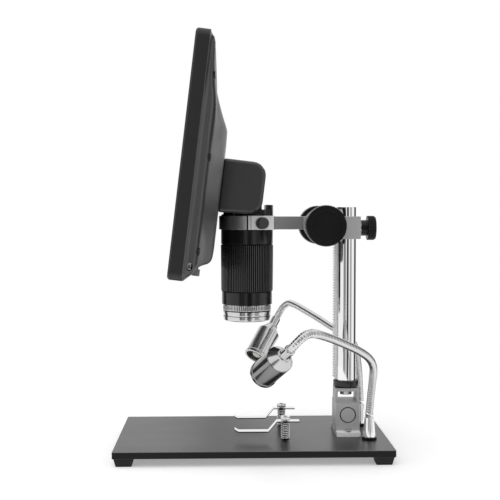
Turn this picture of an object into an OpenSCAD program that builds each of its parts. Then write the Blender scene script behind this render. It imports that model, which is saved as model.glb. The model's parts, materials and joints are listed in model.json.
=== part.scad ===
// Bench microscope with a tilting display, a rack and pinion column and two gooseneck lamps.
// The origin is the centre of the base where its feet stand on the table. +Z is up, +X runs from
// the display's front toward the column, and +Y runs from the near edge of the base to its far edge.
// All sizes are in millimetres.

/* [Base] */
// Length of the base plate, along X
base_length = 201; // [180:1:260]
// Depth of the base plate, along Y
base_depth = 120; // [100:1:160]
// Thickness of the base plate
base_thickness = 5; // [4:0.5:8]
// Corner radius of the base plate
base_corner_r = 1; // [1:0.5:8]
// Height of the rubber feet
foot_height = 6; // [4:0.5:10]
// Width of a square foot at the plate
foot_top = 14.2; // [13:0.2:18]
// Width of a square foot at the table
foot_bottom = 11.2; // [9:0.2:12.8]
// Distance from the plate's edges to each foot
foot_inset = 1; // [1:0.5:8]

/* [Column] */
// Outer diameter of the column tube
column_d = 15; // [14:0.5:17]
// Wall of the column tube
column_wall = 2; // [1.5:0.25:3]
// Height of the column's top above the base plate
column_rise = 172.4; // [165:1:190]
// Distance from the base's column end to the column's axis
column_setback = 28.5; // [26:0.5:34]
// Length of the bracket along X
bracket_length = 18; // [18:0.5:22]
// Depth of the bracket's foot along Y
flange_depth = 37; // [34:1:40]
// Thickness of the bracket's foot
flange_thickness = 3.5; // [2.5:0.5:5]
// Depth of the bracket's block along Y
block_depth = 27; // [24:1:30]
// Height of the bracket's block
block_height = 21; // [18:1:24]
// Height of the window above the block
window_height = 8; // [7:0.5:10]
// Depth of the window frame along Y
frame_depth = 18; // [16:1:22]
// Thickness of the frame's top wall
frame_top = 2.5; // [2:0.5:4]
// Thickness of the frame's side walls
frame_wall = 1.9; // [1.5:0.2:2.7]
// Outer diameter of the black collar
collar_d = 19.6; // [19:0.4:24]
// Height of the black collar
collar_height = 5.5; // [4:0.5:8]

/* [Rack and pinion] */
// Gear module of the rack and the pinion
gear_module = 0.65; // [0.6:0.01:0.7]
// Number of pinion teeth
pinion_teeth = 30; // [28:1:32]
// Distance from the column's axis to the rack's tooth tips
rack_tip_reach = 10.1; // [10:0.1:10.6]
// Width of the rack
rack_width = 5; // [4:0.5:6]
// Diameter of the focus shaft
shaft_d = 6; // [5:0.5:7]
// Diameter of a focus knob
knob_d = 30.2; // [28:0.5:34]
// Thickness of a focus knob
knob_width = 12; // [9:1:14]
// Distance from the middle plane to a knob's inner face
knob_reach = 26; // [24:1:30]

/* [Carriage] */
// Height of the carriage block on the column
carriage_height = 17; // [16:0.5:22]
// Depth of the carriage block along Y
carriage_depth = 24; // [22:1:26]
// Wall of the carriage beside the column
carriage_wall = 1.9; // [1.5:0.1:3]
// Diameter of the round housing over the pinion
housing_d = 25; // [25:0.5:27]
// Width of the pinion housing along Y
housing_width = 28; // [26:1:30]
// Height of the holder arm
arm_height = 9.8; // [9:0.2:10.4]
// Width of the holder arm along Y
arm_width = 20; // [19:1:22]
// Diameter of the column lock's dial
lock_dial_d = 18.4; // [16:0.4:20]
// Thickness of the column lock's dial
lock_dial_width = 6.2; // [5:0.2:8]
// Diameter of the stem behind the dial
lock_stem_d = 12; // [10:0.5:14]
// Length of the stem behind the dial
lock_stem_length = 4.4; // [3:0.2:6]

/* [Barrel] */
// Distance from the column's axis to the barrel's axis
barrel_reach = 75.8; // [72:0.5:80]
// Height of the light hood above the base plate
working_gap = 86.4; // [70:1:89]
// Diameter of the light hood
hood_d = 36.3; // [34:0.5:37]
// Height of the light hood
hood_height = 12.5; // [11:0.5:14]
// Diameter of the smooth collar above the hood
lens_collar_d = 38.2; // [37.4:0.2:38.8]
// Height of the smooth collar above the hood
lens_collar_height = 9.5; // [8:0.5:12]
// Diameter of the ribbed focus ring over its ribs
focus_ring_d = 39.8; // [39:0.2:40.4]
// Height of the ribbed focus ring
focus_ring_height = 36; // [32:1:40]
// Number of ribs round the focus ring
focus_ring_ribs = 80; // [60:1:90]
// Diameter of the barrel tube in its clamp ring
barrel_d = 39.1; // [38:0.2:40]
// Height of the barrel between the focus ring and the clamp ring
barrel_band = 11; // [8:0.5:14]
// Height of the clamp ring
clamp_height = 10.4; // [10.4:0.2:12]
// Wall of the clamp ring
clamp_wall = 1.6; // [1.2:0.2:2.4]
// Direction of the barrel's thumb screw, turned from -Y toward +X
clamp_screw_turn = 20; // [10:1:30]

/* [Display] */
// Width of the display housing, along Y
screen_width = 250; // [240:1:280]
// Height of the display housing
screen_height = 160.6; // [156:1:175]
// Corner radius of the display housing
screen_corner_r = 6; // [3:0.5:10]
// Depth of the front bezel
bezel_depth = 9.5; // [9:0.5:11]
// Bevel round the bezel's front edge
bezel_bevel = 1.2; // [0.6:0.2:2]
// Wall of the bezel and the rear cover
shell_wall = 2.2; // [1.8:0.1:2.6]
// Width of the bezel beside the visible display
side_border = 14; // [12:0.5:24]
// Height of the bezel above the visible display
top_border = 12.4; // [10.4:0.2:20]
// Height of the bezel below the visible display
view_low = 22; // [20.5:0.5:24]
// Depth of the housing over its raised back
back_depth = 27; // [26:0.5:28]
// Lean of the display from upright
screen_tilt = 6.85; // [5:0.05:9]
// Size of the neck housing from the display's back to its rear face
neck_depth = 31.7; // [30:0.1:34]
// Height of the neck housing
neck_height = 38.3; // [36:0.1:42]
// Width of the neck housing, along Y
neck_width = 56; // [54:1:64]
// Corner radius of the neck housing, concentric with the tilt hinge
neck_corner_r = 10; // [9.5:0.1:10.5]
// Height of the neck housing's underside above the display's lower edge
neck_low = 48; // [45:0.5:50]
// Width of the hinge drum, along Y
drum_width = 34; // [30:1:38]
// Diameter of the hinge pin
hinge_pin_d = 5; // [4:0.5:6]
// Diameter of a front button
button_d = 8; // [6:0.5:9]
// Distance between the front buttons
button_pitch = 24; // [18:1:30]
// Travel of a front button
button_travel = 0.6; // [0.4:0.1:0.8]
// Diameter of the lamp dimmer under the display
dimmer_d = 5.4; // [5:0.2:7]
// Height of the lamp dimmer
dimmer_height = 4.4; // [3.5:0.1:5]

/* [Lamps] */
// Distance from the column's axis to the lamp sockets, along X
socket_back = 14.5; // [13.5:0.5:16]
// Distance between the two lamp sockets, along Y
socket_spacing = 48; // [46:1:60]
// Height of a lamp socket above the base plate
socket_height = 16.3; // [14:0.5:20]
// Diameter of a lamp socket at its foot
socket_foot_d = 9.4; // [8.6:0.2:11]
// Diameter of a lamp socket at its top
socket_top_d = 6.8; // [6.4:0.2:8]
// Diameter of the flexible arms
gooseneck_d = 6; // [5:0.2:6.2]
// Diameter of a lamp body
lamp_d = 19; // [17:0.5:22]
// Length of a lamp body
lamp_length = 26; // [22:1:30]
// Length of the cone behind a lamp body
lamp_cone = 6; // [4:0.5:9]
// Length of the neck behind the cone
lamp_neck = 10; // [7:0.5:13]
// Diameter of the neck behind the cone
lamp_neck_d = 7.6; // [7:0.2:9]

/* [Stage clips] */
// Distance between the two clip posts, along Y
clip_spacing = 48; // [46:1:60]
// Distance from the base's middle to the clip posts, along X
clip_x = 24; // [20:1:30]
// Length of a clip from its post to its raised tip
clip_reach = 37.6; // [34:0.5:42]
// Width of a clip strip
clip_width = 8; // [7:0.5:9]
// Thickness of a clip strip
clip_thickness = 0.8; // [0.6:0.1:1.2]
// Height of the strip's raised end above the base plate
clip_rise = 13.8; // [12:0.2:16]
// Height of the strip's pressing part above the base plate
clip_press = 6.4; // [4:0.2:7]
// Outer diameter of the coil spring
spring_d = 6.7; // [6.2:0.1:7.5]

/* [Hidden] */

// Clearances
run_gap = 0.05;      // round running fits, on the radius
seat_gap = 0.02;     // round pieces fixed in each other, on the radius
side_gap = 0.3;      // between moving faces that don't guide each other
thread_gap = 0.05;   // round a screw, on the radius
cut = 1;             // how far a cutting solid runs past the face that it opens
fine = 72;           // facets of a round outline where it is only drawn
soft = 32;           // facets of the round pieces in a blended shape

// Heights and places of the base and the column
stage_z = foot_height + base_thickness;
foot_x = base_length / 2 - foot_inset - foot_top / 2;
foot_y = base_depth / 2 - foot_inset - foot_top / 2;
foot_screw_d = 4;
foot_head_d = 7.5;
foot_head_height = 2.4;
column_x = base_length / 2 - column_setback;
column_r = column_d / 2;
column_bore_r = column_r - column_wall;
column_plug = 12;                                   // solid length at the tube's lower end
block_z = stage_z + flange_thickness;
window_z = block_z + block_height;
frame_z = window_z + window_height;
column_z = frame_z + frame_top;
column_top = stage_z + column_rise;
collar_chamfer = 1;
cap_height = 3;
bolt_d = 5;
bolt_head_d = 9;
bolt_head_height = 3.2;
bolt_depth = 9;
bracket_screw_d = 3;
bracket_screw_head_d = 4.4;
bracket_screw_head_height = 1.6;
bracket_screw_y = flange_depth / 2 - 2.5;
plug_d = 12.2;                                      // round mark on the block's near face
plug_recess = 0.6;
plug_low = 12;                                      // its axis above the bracket's foot

// Rack and pinion
pitch_r = gear_module * pinion_teeth / 2;
tooth_pitch = PI * gear_module;
pressure_angle = 20;
addendum = gear_module;
dedendum = 1.25 * gear_module;
gear_backlash = 0.1;
shaft_x = column_x - rack_tip_reach + addendum - pitch_r;
arm_z = stage_z + working_gap + hood_height + lens_collar_height + focus_ring_height + barrel_band + 0.1;
arm_top = arm_z + arm_height;
shaft_drop = 6.8;                                   // the shaft's axis below the arm's top
shaft_z = arm_top - shaft_drop;
carriage_z = arm_top - carriage_height;
rack_back = column_r - 1;                           // the rack's seat in the tube's wall
rack_low = column_z + collar_height + 0.5;
rack_high = column_top - 1;
rack_clearance = 0.4;
pinion_width = rack_width;
pocket_width = rack_width + 2 * rack_clearance;
pocket_r = pitch_r + addendum + 0.5;
bush_collar_d = 14;
bush_d = 10;
knob_ribs = 72;
knob_rib_depth = 0.5;
knob_wall = 2;
knob_dish_r = 11;
knob_dish = 0.8;

// Carriage, arm and lock
arm_seat = 14.6;                                    // the arm's joint, left of the shaft's axis
arm_screw_d = 3;
arm_screw_head_d = 5.5;
arm_screw_head_height = 2.8;
arm_screw_grip = 3.2;
arm_screw_y = arm_width / 2 - 3.5;
carriage_end = column_x + column_r + carriage_wall;
lock_z = carriage_z + carriage_height / 2 - 0.3;
lock_bush_d = 8.4;
lock_bush_length = 1.9;
lock_stud_d = 4;
lock_ribs = 36;
lock_stem_x = carriage_end + lock_bush_length;

// Barrel, from the hood up
barrel_x = column_x - barrel_reach;
hood_z = stage_z + working_gap;
hood_wall = 2;
hood_groove_rise = 7.6;
hood_groove = 0.7;
hood_chamfer = 1;
lens_collar_z = hood_z + hood_height;
focus_ring_z = lens_collar_z + lens_collar_height;
band_z = focus_ring_z + focus_ring_height;
clamp_z = band_z + barrel_band;
clamp_top = clamp_z + clamp_height;
barrel_r = barrel_d / 2;
barrel_wall = 2;
band_r = barrel_r + 0.15;
core_r = barrel_r - barrel_wall - 0.55;
core_wall = 2;
core_z = lens_collar_z + 5;
focus_rib_depth = 0.45;
clamp_bore_r = barrel_r + run_gap;
clamp_r = clamp_bore_r + clamp_wall;
boss_left = 2.7;                                    // the clamp boss past the barrel's axis, along X
boss_right = 19.2;
boss_y = 24;
thumb_d = 8.6;
thumb_length = 6.4;
thumb_r = 27.6;                                     // the thumb screw's head from the barrel's axis
thumb_ribs = 20;
thumb_shank_d = 3;
cell_r = 13;
cell_bore_r = 9;
cell_height = 14;
cell_z = lens_collar_z - 1.5;
led_board_z = hood_z + 6.6;
led_board_thickness = 1.6;
led_count = 8;
led_size = 2.6;
led_height = 1;
led_circle_r = 13;
sensor_size = 11;
sensor_thickness = 1.6;

// Tilt hinge
hinge_shift = 1.05;                                 // the hinge's axis past the barrel's axis, along X
hinge_rise = 11.5;                                  // the hinge's axis above the clamp ring
hinge_x = barrel_x + hinge_shift;
hinge_z = clamp_top + hinge_rise;
hinge_n = back_depth + neck_depth - neck_corner_r;
hinge_s = neck_low + neck_corner_r;
drum_r = neck_corner_r - 0.2;
shroud_r = neck_corner_r + 0.6;
drum_gap = 0.4;                                     // beside the drum, on each side
rim_rise = 1.1;                                     // the barrel head's rim above the clamp ring
saddle_rise = 4.7;
saddle_left = 18;
lug_inner = 13.6;
lug_outer = 19.9;
lug_rise = 8.2;
spigot_depth = 7;
sensor_z = clamp_top - spigot_depth - sensor_thickness - seat_gap;
neck_wall = 2.5;
neck_round = 3;
notch_front = 19.5;
neck_flare = 1.5;                                   // how far the underside drops toward the display
pin_boss_r = 6;
pin_sink = 0.5;                                     // how far the hinge pin runs into each side wall
neck_screw_d = 3;
neck_screw_head_d = 5.5;
neck_screw_head_height = 2;
neck_screw_grip = 7;
neck_boss_r = 3.5;
neck_screw_y = neck_width / 2 - neck_wall - neck_boss_r + 0.2;
neck_screw_rise = 17.5;
neck_screw_drop = 7;
neck_screw_rows = [neck_low + neck_screw_rise, neck_low + neck_height - neck_screw_drop];

// Display housing, in its own upright frame: x from the front, z up from the lower edge
back_step = 18.5;                                   // depth of the flat part of the rear cover
back_edge = 4;                                      // how far the cover's sides slope in
chamfer_start = 0.6;                                // the lower slope begins this far behind the seam
hump_half = 85;                                     // half width of the raised back at its top
hump_foot = 116;
hump_low = 14;
hump_high = 103.8;
hump_foot_high = 120.5;
top_depth = 13.1;
top_slope_drop = 4.9;
mid_depth = 15;
mid_slope_drop = 30.6;
front_wall = 2;
glass_depth = 0.6;
glass_gap = 0.15;
view_width = screen_width - 2 * side_border;
view_height = screen_height - view_low - top_border;
panel_border = 3;
panel_thickness = 4;
cover_screw_inset = 7.5;
cover_screw_low = 20;
cover_screw_drop = 6.6;
cover_screw_second = 28.2;                          // from the top edge to the second row
cover_screw_y = screen_width / 2 - cover_screw_inset;
cover_screw_rows = [
    cover_screw_low, screen_height / 2, screen_height - cover_screw_second, screen_height - cover_screw_drop
];
cover_screw_d = 2.8;
cover_screw_head_d = 5.2;
cover_screw_head_height = 1.4;
cover_screw_seat = 1.2;                             // cover's wall in front of each head
cover_screw_grip = 5;                               // length in the bezel
cover_boss_r = 3;
board_thickness = 1.6;
board_x = back_step - shell_wall - board_thickness - 0.3;
board_inset = 17;
board_half = screen_width / 2 - board_inset;
board_low = 9.5;
board_high = 98;
post_r = 3;
post_y = 70;
post_rows = [board_low + 16, board_high - 8];
jack_x = 13.5;
jack_z = 9.8;
jack_round_d = 3;
jack_length = 4.8;
side_cut = 10;                                      // from a side face to the inner end of its openings
port_low = 30;
port_pitch = 14;
port_heights = [for (i = [0 : 2]) port_low + i * port_pitch];
port_width = 9;
port_height = 3.2;
port_body = 12;
button_z = 10.5;
button_rest = 0.2;                                  // what still stands proud of a pressed button
button_proud = button_travel + button_rest;
button_flange = 0.9;
button_flange_height = 1;
dimmer_x = 17.3;
dimmer_low = 3.2;                                   // height of the dimmer's lower end
dimmer_inset = 25;
dimmer_y = screen_width / 2 - dimmer_inset;
dimmer_stem_d = 2.8;
dimmer_boss_wall = 1.2;
dimmer_pocket_r = dimmer_d / 2 + side_gap;
dimmer_top = dimmer_low + dimmer_height;
dimmer_roof = board_low - side_gap;                 // top of the dimmer's boss and stem

// Lamps
socket_x = column_x + socket_back;
socket_y = socket_spacing / 2;
socket_ring_height = 1.5;
socket_ring_wall = 0.9;
socket_spigot_d = 5;
socket_gap = 0.1;
pivot_z = stage_z + socket_height + side_gap + gooseneck_d / 2;
// Middle line of each flexible arm, from its pivot
near_route = [
    [0, 0, 0], [0.8, -1, 10.7], [1.6, -4, 23.7], [1.2, -10.3, 34.7], [-3, -19, 43], [-12, -31, 50.3],
    [-24, -45.5, 57.2], [-36, -60, 63.4], [-47, -73.5, 68], [-51.9, -78.9, 68.8], [-56, -82.1, 67.4],
    [-59.4, -83.4, 64.6], [-62.3, -82.5, 61.4], [-64.3, -80, 58.7]
];
far_route = [
    [0, 0, 0], [-0.3, 1, 11.7], [-1, 4.5, 26.7], [-2.8, 12, 41.2], [-8, 21, 48.4], [-18, 32, 53.7],
    [-29, 44, 60.2], [-39, 56, 65.7], [-46, 66, 69.1], [-51.5, 73, 70.4], [-56.4, 76.5, 66.7],
    [-59.5, 75.5, 62.1], [-62.3, 71, 58]
];
near_aim = [-0.40, 0.757, -0.517];
far_aim = [-0.45, -0.52, -0.726];
route_steps = 3;
route_sides = 10;
lamp_wall = 1.2;
lamp_lip = 0.5;
lamp_mouth = 3;                                     // depth of the mouth in front of the light
lamp_seat = seat_gap;                               // between the arm's end and the lamp's neck
led_puck = 4;

// Stage clips
clip_y = clip_spacing / 2;
clip_flat = 26.6;                                   // from the post to the end of the pressing part
clip_press_length = 14;
clip_bend = 6.4;                                    // from the post to the raised end
clip_tail = 10.4;
clip_tip_rise = 1.7;
clip_tip_run = 2.9;
post_d = 3.4;
nut_d = 7;
nut_height = 2.8;
spring_wire = 1;
spring_turns = 8;
spring_steps = 12;
spring_sides = 4;

// Rounded rectangle centred on the origin
module rounded_rect(w, h, r) {
    square([w - 2 * r, h], center = true);
    square([w, h - 2 * r], center = true);
    for (x = [-1, 1], y = [-1, 1])
        translate([x * (w / 2 - r), y * (h / 2 - r)]) circle(r = r, $fn = fine);
}

// Child outline drawn in X and Z, with its thickness along Y about the middle plane
module across(width) {
    rotate([90, 0, 0]) linear_extrude(width, center = true) children();
}

// Cylinder along Y, from y0 to y1, at x and z
module pin_y(x, z, r, y0, y1) {
    translate([x, y1, z]) rotate([90, 0, 0]) cylinder(r = r, h = y1 - y0, $fn = fine);
}

// Cylinder along X, from x0 to x1, at y and z
module pin_x(y, z, r, x0, x1) {
    translate([x0, y, z]) rotate([0, 90, 0]) cylinder(r = r, h = x1 - x0, $fn = fine);
}

// Outline of a ribbed round piece
function ribbed(r, depth, count) = [
    for (i = [0 : count - 1]) each [
        for (k = [0, 0.3, 0.5, 0.8])
            let (a = (i + k) * 360 / count, q = k < 0.4 ? r : r - depth) [q * cos(a), q * sin(a)]
    ]
];

// --- Base ---

module base_plate() {
    color([0.5, 0.5, 0.5]) difference() {
        translate([0, 0, foot_height]) linear_extrude(base_thickness)
            rounded_rect(base_length, base_depth, base_corner_r);
        at_feet() translate([0, 0, foot_height - cut])
            cylinder(d = foot_screw_d + 2 * thread_gap, h = 3 + cut, $fn = fine);
        at_clips() translate([0, 0, foot_height - cut])
            cylinder(d = post_d + 2 * thread_gap, h = base_thickness + 2 * cut, $fn = fine);
        at_sockets() translate([0, 0, foot_height - cut])
            cylinder(d = socket_spigot_d + 2 * run_gap, h = base_thickness + 2 * cut, $fn = fine);
        at_bracket_screws() translate([0, 0, foot_height - cut])
            cylinder(d = bracket_screw_d + 2 * thread_gap, h = base_thickness + 2 * cut, $fn = fine);
    }
}

module at_feet() {
    for (x = [-foot_x, foot_x], y = [-foot_y, foot_y]) translate([x, y, 0]) children();
}

module at_clips() {
    for (y = [-clip_y, clip_y]) translate([clip_x, y, 0]) children();
}

module at_sockets() {
    for (y = [-socket_y, socket_y]) translate([socket_x, y, 0]) children();
}

module at_bracket_screws() {
    for (y = [-1, 1]) translate([column_x, y * bracket_screw_y, 0]) children();
}

// Side view of a foot, narrower where it stands
module foot_side() {
    polygon([
        [-foot_bottom / 2, 0], [foot_bottom / 2, 0], [foot_top / 2, foot_height], [-foot_top / 2, foot_height]
    ]);
}

module rubber_feet() {
    color([0.06, 0.06, 0.06]) at_feet() difference() {
        intersection() {
            across(foot_top) foot_side();
            rotate([0, 0, 90]) across(foot_top) foot_side();
        }
        translate([0, 0, -cut])
            cylinder(d = foot_head_d + 2 * thread_gap, h = cut + foot_head_height, $fn = fine);
        translate([0, 0, -cut])
            cylinder(d = foot_screw_d + 2 * thread_gap, h = foot_height + 2 * cut, $fn = fine);
    }
}

module foot_screws() {
    color([0.6, 0.6, 0.6]) at_feet() translate([0, 0, 1]) {
        cylinder(d = foot_head_d, h = foot_head_height - 1, $fn = fine);
        cylinder(d = foot_screw_d, h = foot_height + 1.6, $fn = fine);
    }
}

// --- Column ---

module column_bracket() {
    color([0.62, 0.62, 0.63]) difference() {
        translate([column_x, 0, 0]) union() {
            translate([-bracket_length / 2, -flange_depth / 2, stage_z])
                cube([bracket_length, flange_depth, flange_thickness]);
            translate([-bracket_length / 2, -block_depth / 2, stage_z])
                cube([bracket_length, block_depth, flange_thickness + block_height]);
            difference() {
                translate([-bracket_length / 2, -frame_depth / 2, window_z - 1])
                    cube([bracket_length, frame_depth, window_height + frame_top + 1]);
                translate([-bracket_length / 2 + frame_wall, -frame_depth, window_z])
                    cube([bracket_length - 2 * frame_wall, 2 * frame_depth, window_height]);
            }
        }
        translate([column_x, 0, frame_z - cut])
            cylinder(d = bolt_d + 2 * thread_gap, h = frame_top + 2 * cut, $fn = fine);
        pin_y(column_x, block_z + plug_low, plug_d / 2, -block_depth, -block_depth / 2 + plug_recess);
        at_bracket_screws() translate([0, 0, stage_z - cut])
            cylinder(d = bracket_screw_d + 2 * thread_gap, h = flange_thickness + 2 * cut, $fn = fine);
    }
}

module bracket_screws() {
    color([0.7, 0.7, 0.7]) at_bracket_screws() {
        translate([0, 0, foot_height + 0.5])
            cylinder(d = bracket_screw_d, h = base_thickness + flange_thickness, $fn = fine);
        translate([0, 0, block_z])
            cylinder(d = bracket_screw_head_d, h = bracket_screw_head_height, $fn = fine);
    }
}

module column_bolt() {
    color([0.75, 0.75, 0.75]) translate([column_x, 0, frame_z]) {
        cylinder(d = bolt_d, h = frame_top + bolt_depth, $fn = fine);
        translate([0, 0, -bolt_head_height]) cylinder(d = bolt_head_d, h = bolt_head_height, $fn = fine);
    }
}

module column_tube() {
    color([0.85, 0.85, 0.87]) difference() {
        translate([column_x, 0, column_z])
            cylinder(r = column_r, h = column_top - column_z, $fn = fine);
        translate([column_x, 0, column_z + column_plug])
            cylinder(r = column_bore_r, h = column_top - column_z, $fn = fine);
        translate([column_x, 0, column_z - cut])
            cylinder(d = bolt_d + 2 * thread_gap, h = bolt_depth + 1 + cut, $fn = fine);
        translate([column_x - column_r - cut, -rack_width / 2 - run_gap, rack_low])
            cube([column_r + cut - rack_back, rack_width + 2 * run_gap, rack_high - rack_low]);
    }
}

module column_cap() {
    color([0.1, 0.1, 0.1]) translate([column_x, 0, column_top - cap_height])
        cylinder(r = column_bore_r - seat_gap, h = cap_height - 0.6, $fn = fine);
}

module column_collar() {
    collar_r = collar_d / 2;
    color([0.05, 0.05, 0.05]) translate([column_x, 0, column_z - 1]) rotate_extrude($fn = fine)
        polygon([
            [column_r + seat_gap, 1], [collar_r - collar_chamfer, 1], [collar_r, 1 + collar_chamfer],
            [collar_r, 1 + collar_height - 0.4], [collar_r - 0.4, 1 + collar_height],
            [column_r + seat_gap, 1 + collar_height]
        ]);
}

// --- Rack and pinion ---

// Rack teeth face -X, with a gap between two teeth level with the shaft
module gear_rack() {
    tip = column_x - rack_tip_reach;
    root = tip + addendum + dedendum;
    half = (tooth_pitch - gear_backlash) / 4;
    slope = tan(pressure_angle);
    first = ceil((rack_low - shaft_z) / tooth_pitch);
    last = floor((rack_high - shaft_z) / tooth_pitch) - 1;
    teeth = [
        for (k = [first : last]) each [
            let (z = shaft_z + (k + 0.5) * tooth_pitch)
            for (side = [-1, 1], end = side < 0 ? [1, 0] : [0, 1])
                [end == 1 ? root : tip, z + side * (half + (end == 1 ? dedendum : -addendum) * slope)]
        ]
    ];
    color([0.75, 0.75, 0.76]) across(rack_width)
        polygon(concat([[root, rack_low]], teeth, [[root, rack_high]],
            [[column_x - rack_back, rack_high], [column_x - rack_back, rack_low]]));
}

function on_circle(r, a) = [r * cos(a), r * sin(a)];

function involute(a) = tan(a) * 180 / PI - a;

// Angle from a tooth's middle to its flank, at radius r
function flank(r) =
    let (base_r = pitch_r * cos(pressure_angle))
    let (half = (tooth_pitch - gear_backlash) / 4 / pitch_r * 180 / PI)
    half + involute(pressure_angle) - involute(acos(min(1, base_r / max(r, base_r))));

module pinion_outline() {
    steps = 4;
    root_r = pitch_r - dedendum;
    base_r = pitch_r * cos(pressure_angle);
    tip_r = pitch_r + addendum;
    radii = concat([root_r], [for (i = [0 : steps]) base_r + (tip_r - base_r) * i / steps]);
    last = len(radii) - 1;
    polygon([
        for (t = [0 : pinion_teeth - 1]) each concat(
            [for (i = [0 : last]) on_circle(radii[i], t * 360 / pinion_teeth - flank(radii[i]))],
            [for (i = [last : -1 : 0]) on_circle(radii[i], t * 360 / pinion_teeth + flank(radii[i]))]
        )
    ]);
}

module pinion() {
    color([0.7, 0.62, 0.35]) difference() {
        translate([shaft_x, 0, shaft_z]) across(pinion_width) pinion_outline();
        pin_y(shaft_x, shaft_z, shaft_d / 2 + seat_gap, -pinion_width, pinion_width);
    }
}

module focus_shaft() {
    shaft_half = knob_reach + knob_width - knob_wall;
    color([0.75, 0.75, 0.76]) pin_y(shaft_x, shaft_z, shaft_d / 2, -shaft_half, shaft_half);
}

module focus_knobs() {
    bore_end = knob_width - knob_wall + seat_gap;
    color([0.05, 0.05, 0.05]) for (side = [-1, 1])
        translate([shaft_x, side * knob_reach, shaft_z]) rotate([-90 * side, 0, 0]) difference() {
            union() {
                linear_extrude(knob_width - 1) polygon(ribbed(knob_d / 2, knob_rib_depth, knob_ribs));
                cylinder(r = knob_d / 2 - knob_rib_depth, h = knob_width, $fn = fine);
            }
            translate([0, 0, knob_width - knob_dish]) cylinder(r = knob_dish_r, h = cut, $fn = fine);
            translate([0, 0, -cut]) cylinder(r = shaft_d / 2 + seat_gap, h = cut + bore_end, $fn = fine);
        }
}

module shaft_bushes() {
    color([0.72, 0.72, 0.73]) {
        difference() {
            union() {
                pin_y(shaft_x, shaft_z, pocket_r - seat_gap, -housing_width / 2, -pocket_width / 2 - 0.2);
                pin_y(shaft_x, shaft_z, bush_collar_d / 2, -knob_reach + side_gap, -housing_width / 2);
            }
            pin_y(shaft_x, shaft_z, shaft_d / 2 + run_gap, -knob_reach, 0);
        }
        difference() {
            union() {
                pin_y(shaft_x, shaft_z, bush_d / 2 - seat_gap, pocket_width / 2 + 0.2, housing_width / 2);
                pin_y(shaft_x, shaft_z, bush_collar_d / 2, housing_width / 2, knob_reach - side_gap);
            }
            pin_y(shaft_x, shaft_z, shaft_d / 2 + run_gap, 0, knob_reach);
        }
    }
}

// --- Carriage ---

module focus_carriage() {
    seat_x = shaft_x - arm_seat;
    slot_left = shaft_x;
    color([0.6, 0.6, 0.61]) difference() {
        union() {
            pin_y(shaft_x, shaft_z, housing_d / 2, -housing_width / 2, housing_width / 2);
            translate([shaft_x, -carriage_depth / 2, carriage_z])
                cube([carriage_end - shaft_x, carriage_depth, carriage_height]);
            translate([seat_x, -arm_width / 2, arm_z]) cube([arm_seat, arm_width, arm_height]);
        }
        translate([column_x, 0, carriage_z - cut])
            cylinder(r = column_r + run_gap, h = carriage_height + housing_d, $fn = fine);
        translate([slot_left, -pocket_width / 2, carriage_z - housing_d])
            cube([column_x - slot_left, pocket_width, carriage_height + 2 * housing_d]);
        pin_y(shaft_x, shaft_z, pocket_r, -housing_width, pocket_width / 2);
        pin_y(shaft_x, shaft_z, bush_d / 2, 0, housing_width);
        for (y = [-arm_screw_y, arm_screw_y])
            pin_x(y, arm_z + arm_height / 2, arm_screw_d / 2 + thread_gap,
                seat_x - cut, seat_x + arm_screw_grip + 0.2);
        pin_x(0, lock_z, lock_stud_d / 2 + run_gap, column_x, carriage_end + cut);
    }
}

module holder_arm() {
    seat_x = shaft_x - arm_seat;
    arm_mid = arm_z + arm_height / 2;
    head_x = barrel_x + clamp_bore_r - 0.6;
    color([0.78, 0.78, 0.79]) difference() {
        union() {
            translate([barrel_x, 0, clamp_z]) cylinder(r = clamp_r, h = clamp_height, $fn = fine);
            translate([barrel_x, -arm_width / 2, arm_z]) cube([seat_x - barrel_x, arm_width, arm_height]);
            translate([barrel_x + boss_left, -boss_y, clamp_z])
                cube([boss_right - boss_left, boss_y, clamp_height]);
        }
        translate([barrel_x, 0, clamp_z - cut])
            cylinder(r = clamp_bore_r, h = clamp_height + 2 * cut, $fn = fine);
        translate([barrel_x, 0, arm_mid]) rotate([0, 90, clamp_screw_turn - 90])
            cylinder(d = thumb_shank_d + 2 * run_gap, h = boss_y + thumb_r, $fn = fine);
        for (y = [-arm_screw_y, arm_screw_y]) {
            pin_x(y, arm_mid, arm_screw_d / 2 + thread_gap, barrel_x, seat_x + cut);
            pin_x(y, arm_mid, arm_screw_head_d / 2 + thread_gap, barrel_x, head_x + arm_screw_head_height);
        }
    }
}

module arm_screws() {
    seat_x = shaft_x - arm_seat;
    head_x = barrel_x + clamp_bore_r - 0.6;
    color([0.2, 0.2, 0.2]) for (y = [-arm_screw_y, arm_screw_y]) {
        pin_x(y, arm_z + arm_height / 2, arm_screw_d / 2, head_x + 1, seat_x + arm_screw_grip);
        pin_x(y, arm_z + arm_height / 2, arm_screw_head_d / 2, head_x, head_x + arm_screw_head_height);
    }
}

module lock_bush() {
    color([0.8, 0.8, 0.81]) difference() {
        pin_x(0, lock_z, lock_bush_d / 2, carriage_end, lock_stem_x - 0.1);
        pin_x(0, lock_z, lock_stud_d / 2 + run_gap, carriage_end - cut, lock_stem_x + cut);
    }
}

module lock_knob() {
    dial_x = lock_stem_x + lock_stem_length;
    color([0.05, 0.05, 0.05]) difference() {
        union() {
            pin_x(0, lock_z, lock_stem_d / 2, lock_stem_x, dial_x + 1);
            translate([dial_x, 0, lock_z]) rotate([0, 90, 0]) {
                linear_extrude(lock_dial_width - 1) polygon(ribbed(lock_dial_d / 2, 0.5, lock_ribs));
                cylinder(r = lock_dial_d / 2 - 0.6, h = lock_dial_width, $fn = fine);
            }
        }
        pin_x(0, lock_z, lock_stud_d / 2 + seat_gap, lock_stem_x - cut, dial_x + 2);
    }
}

module lock_stud() {
    color([0.7, 0.7, 0.7])
        pin_x(0, lock_z, lock_stud_d / 2, column_x + column_r + side_gap, lock_stem_x + lock_stem_length + 2);
}

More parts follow.
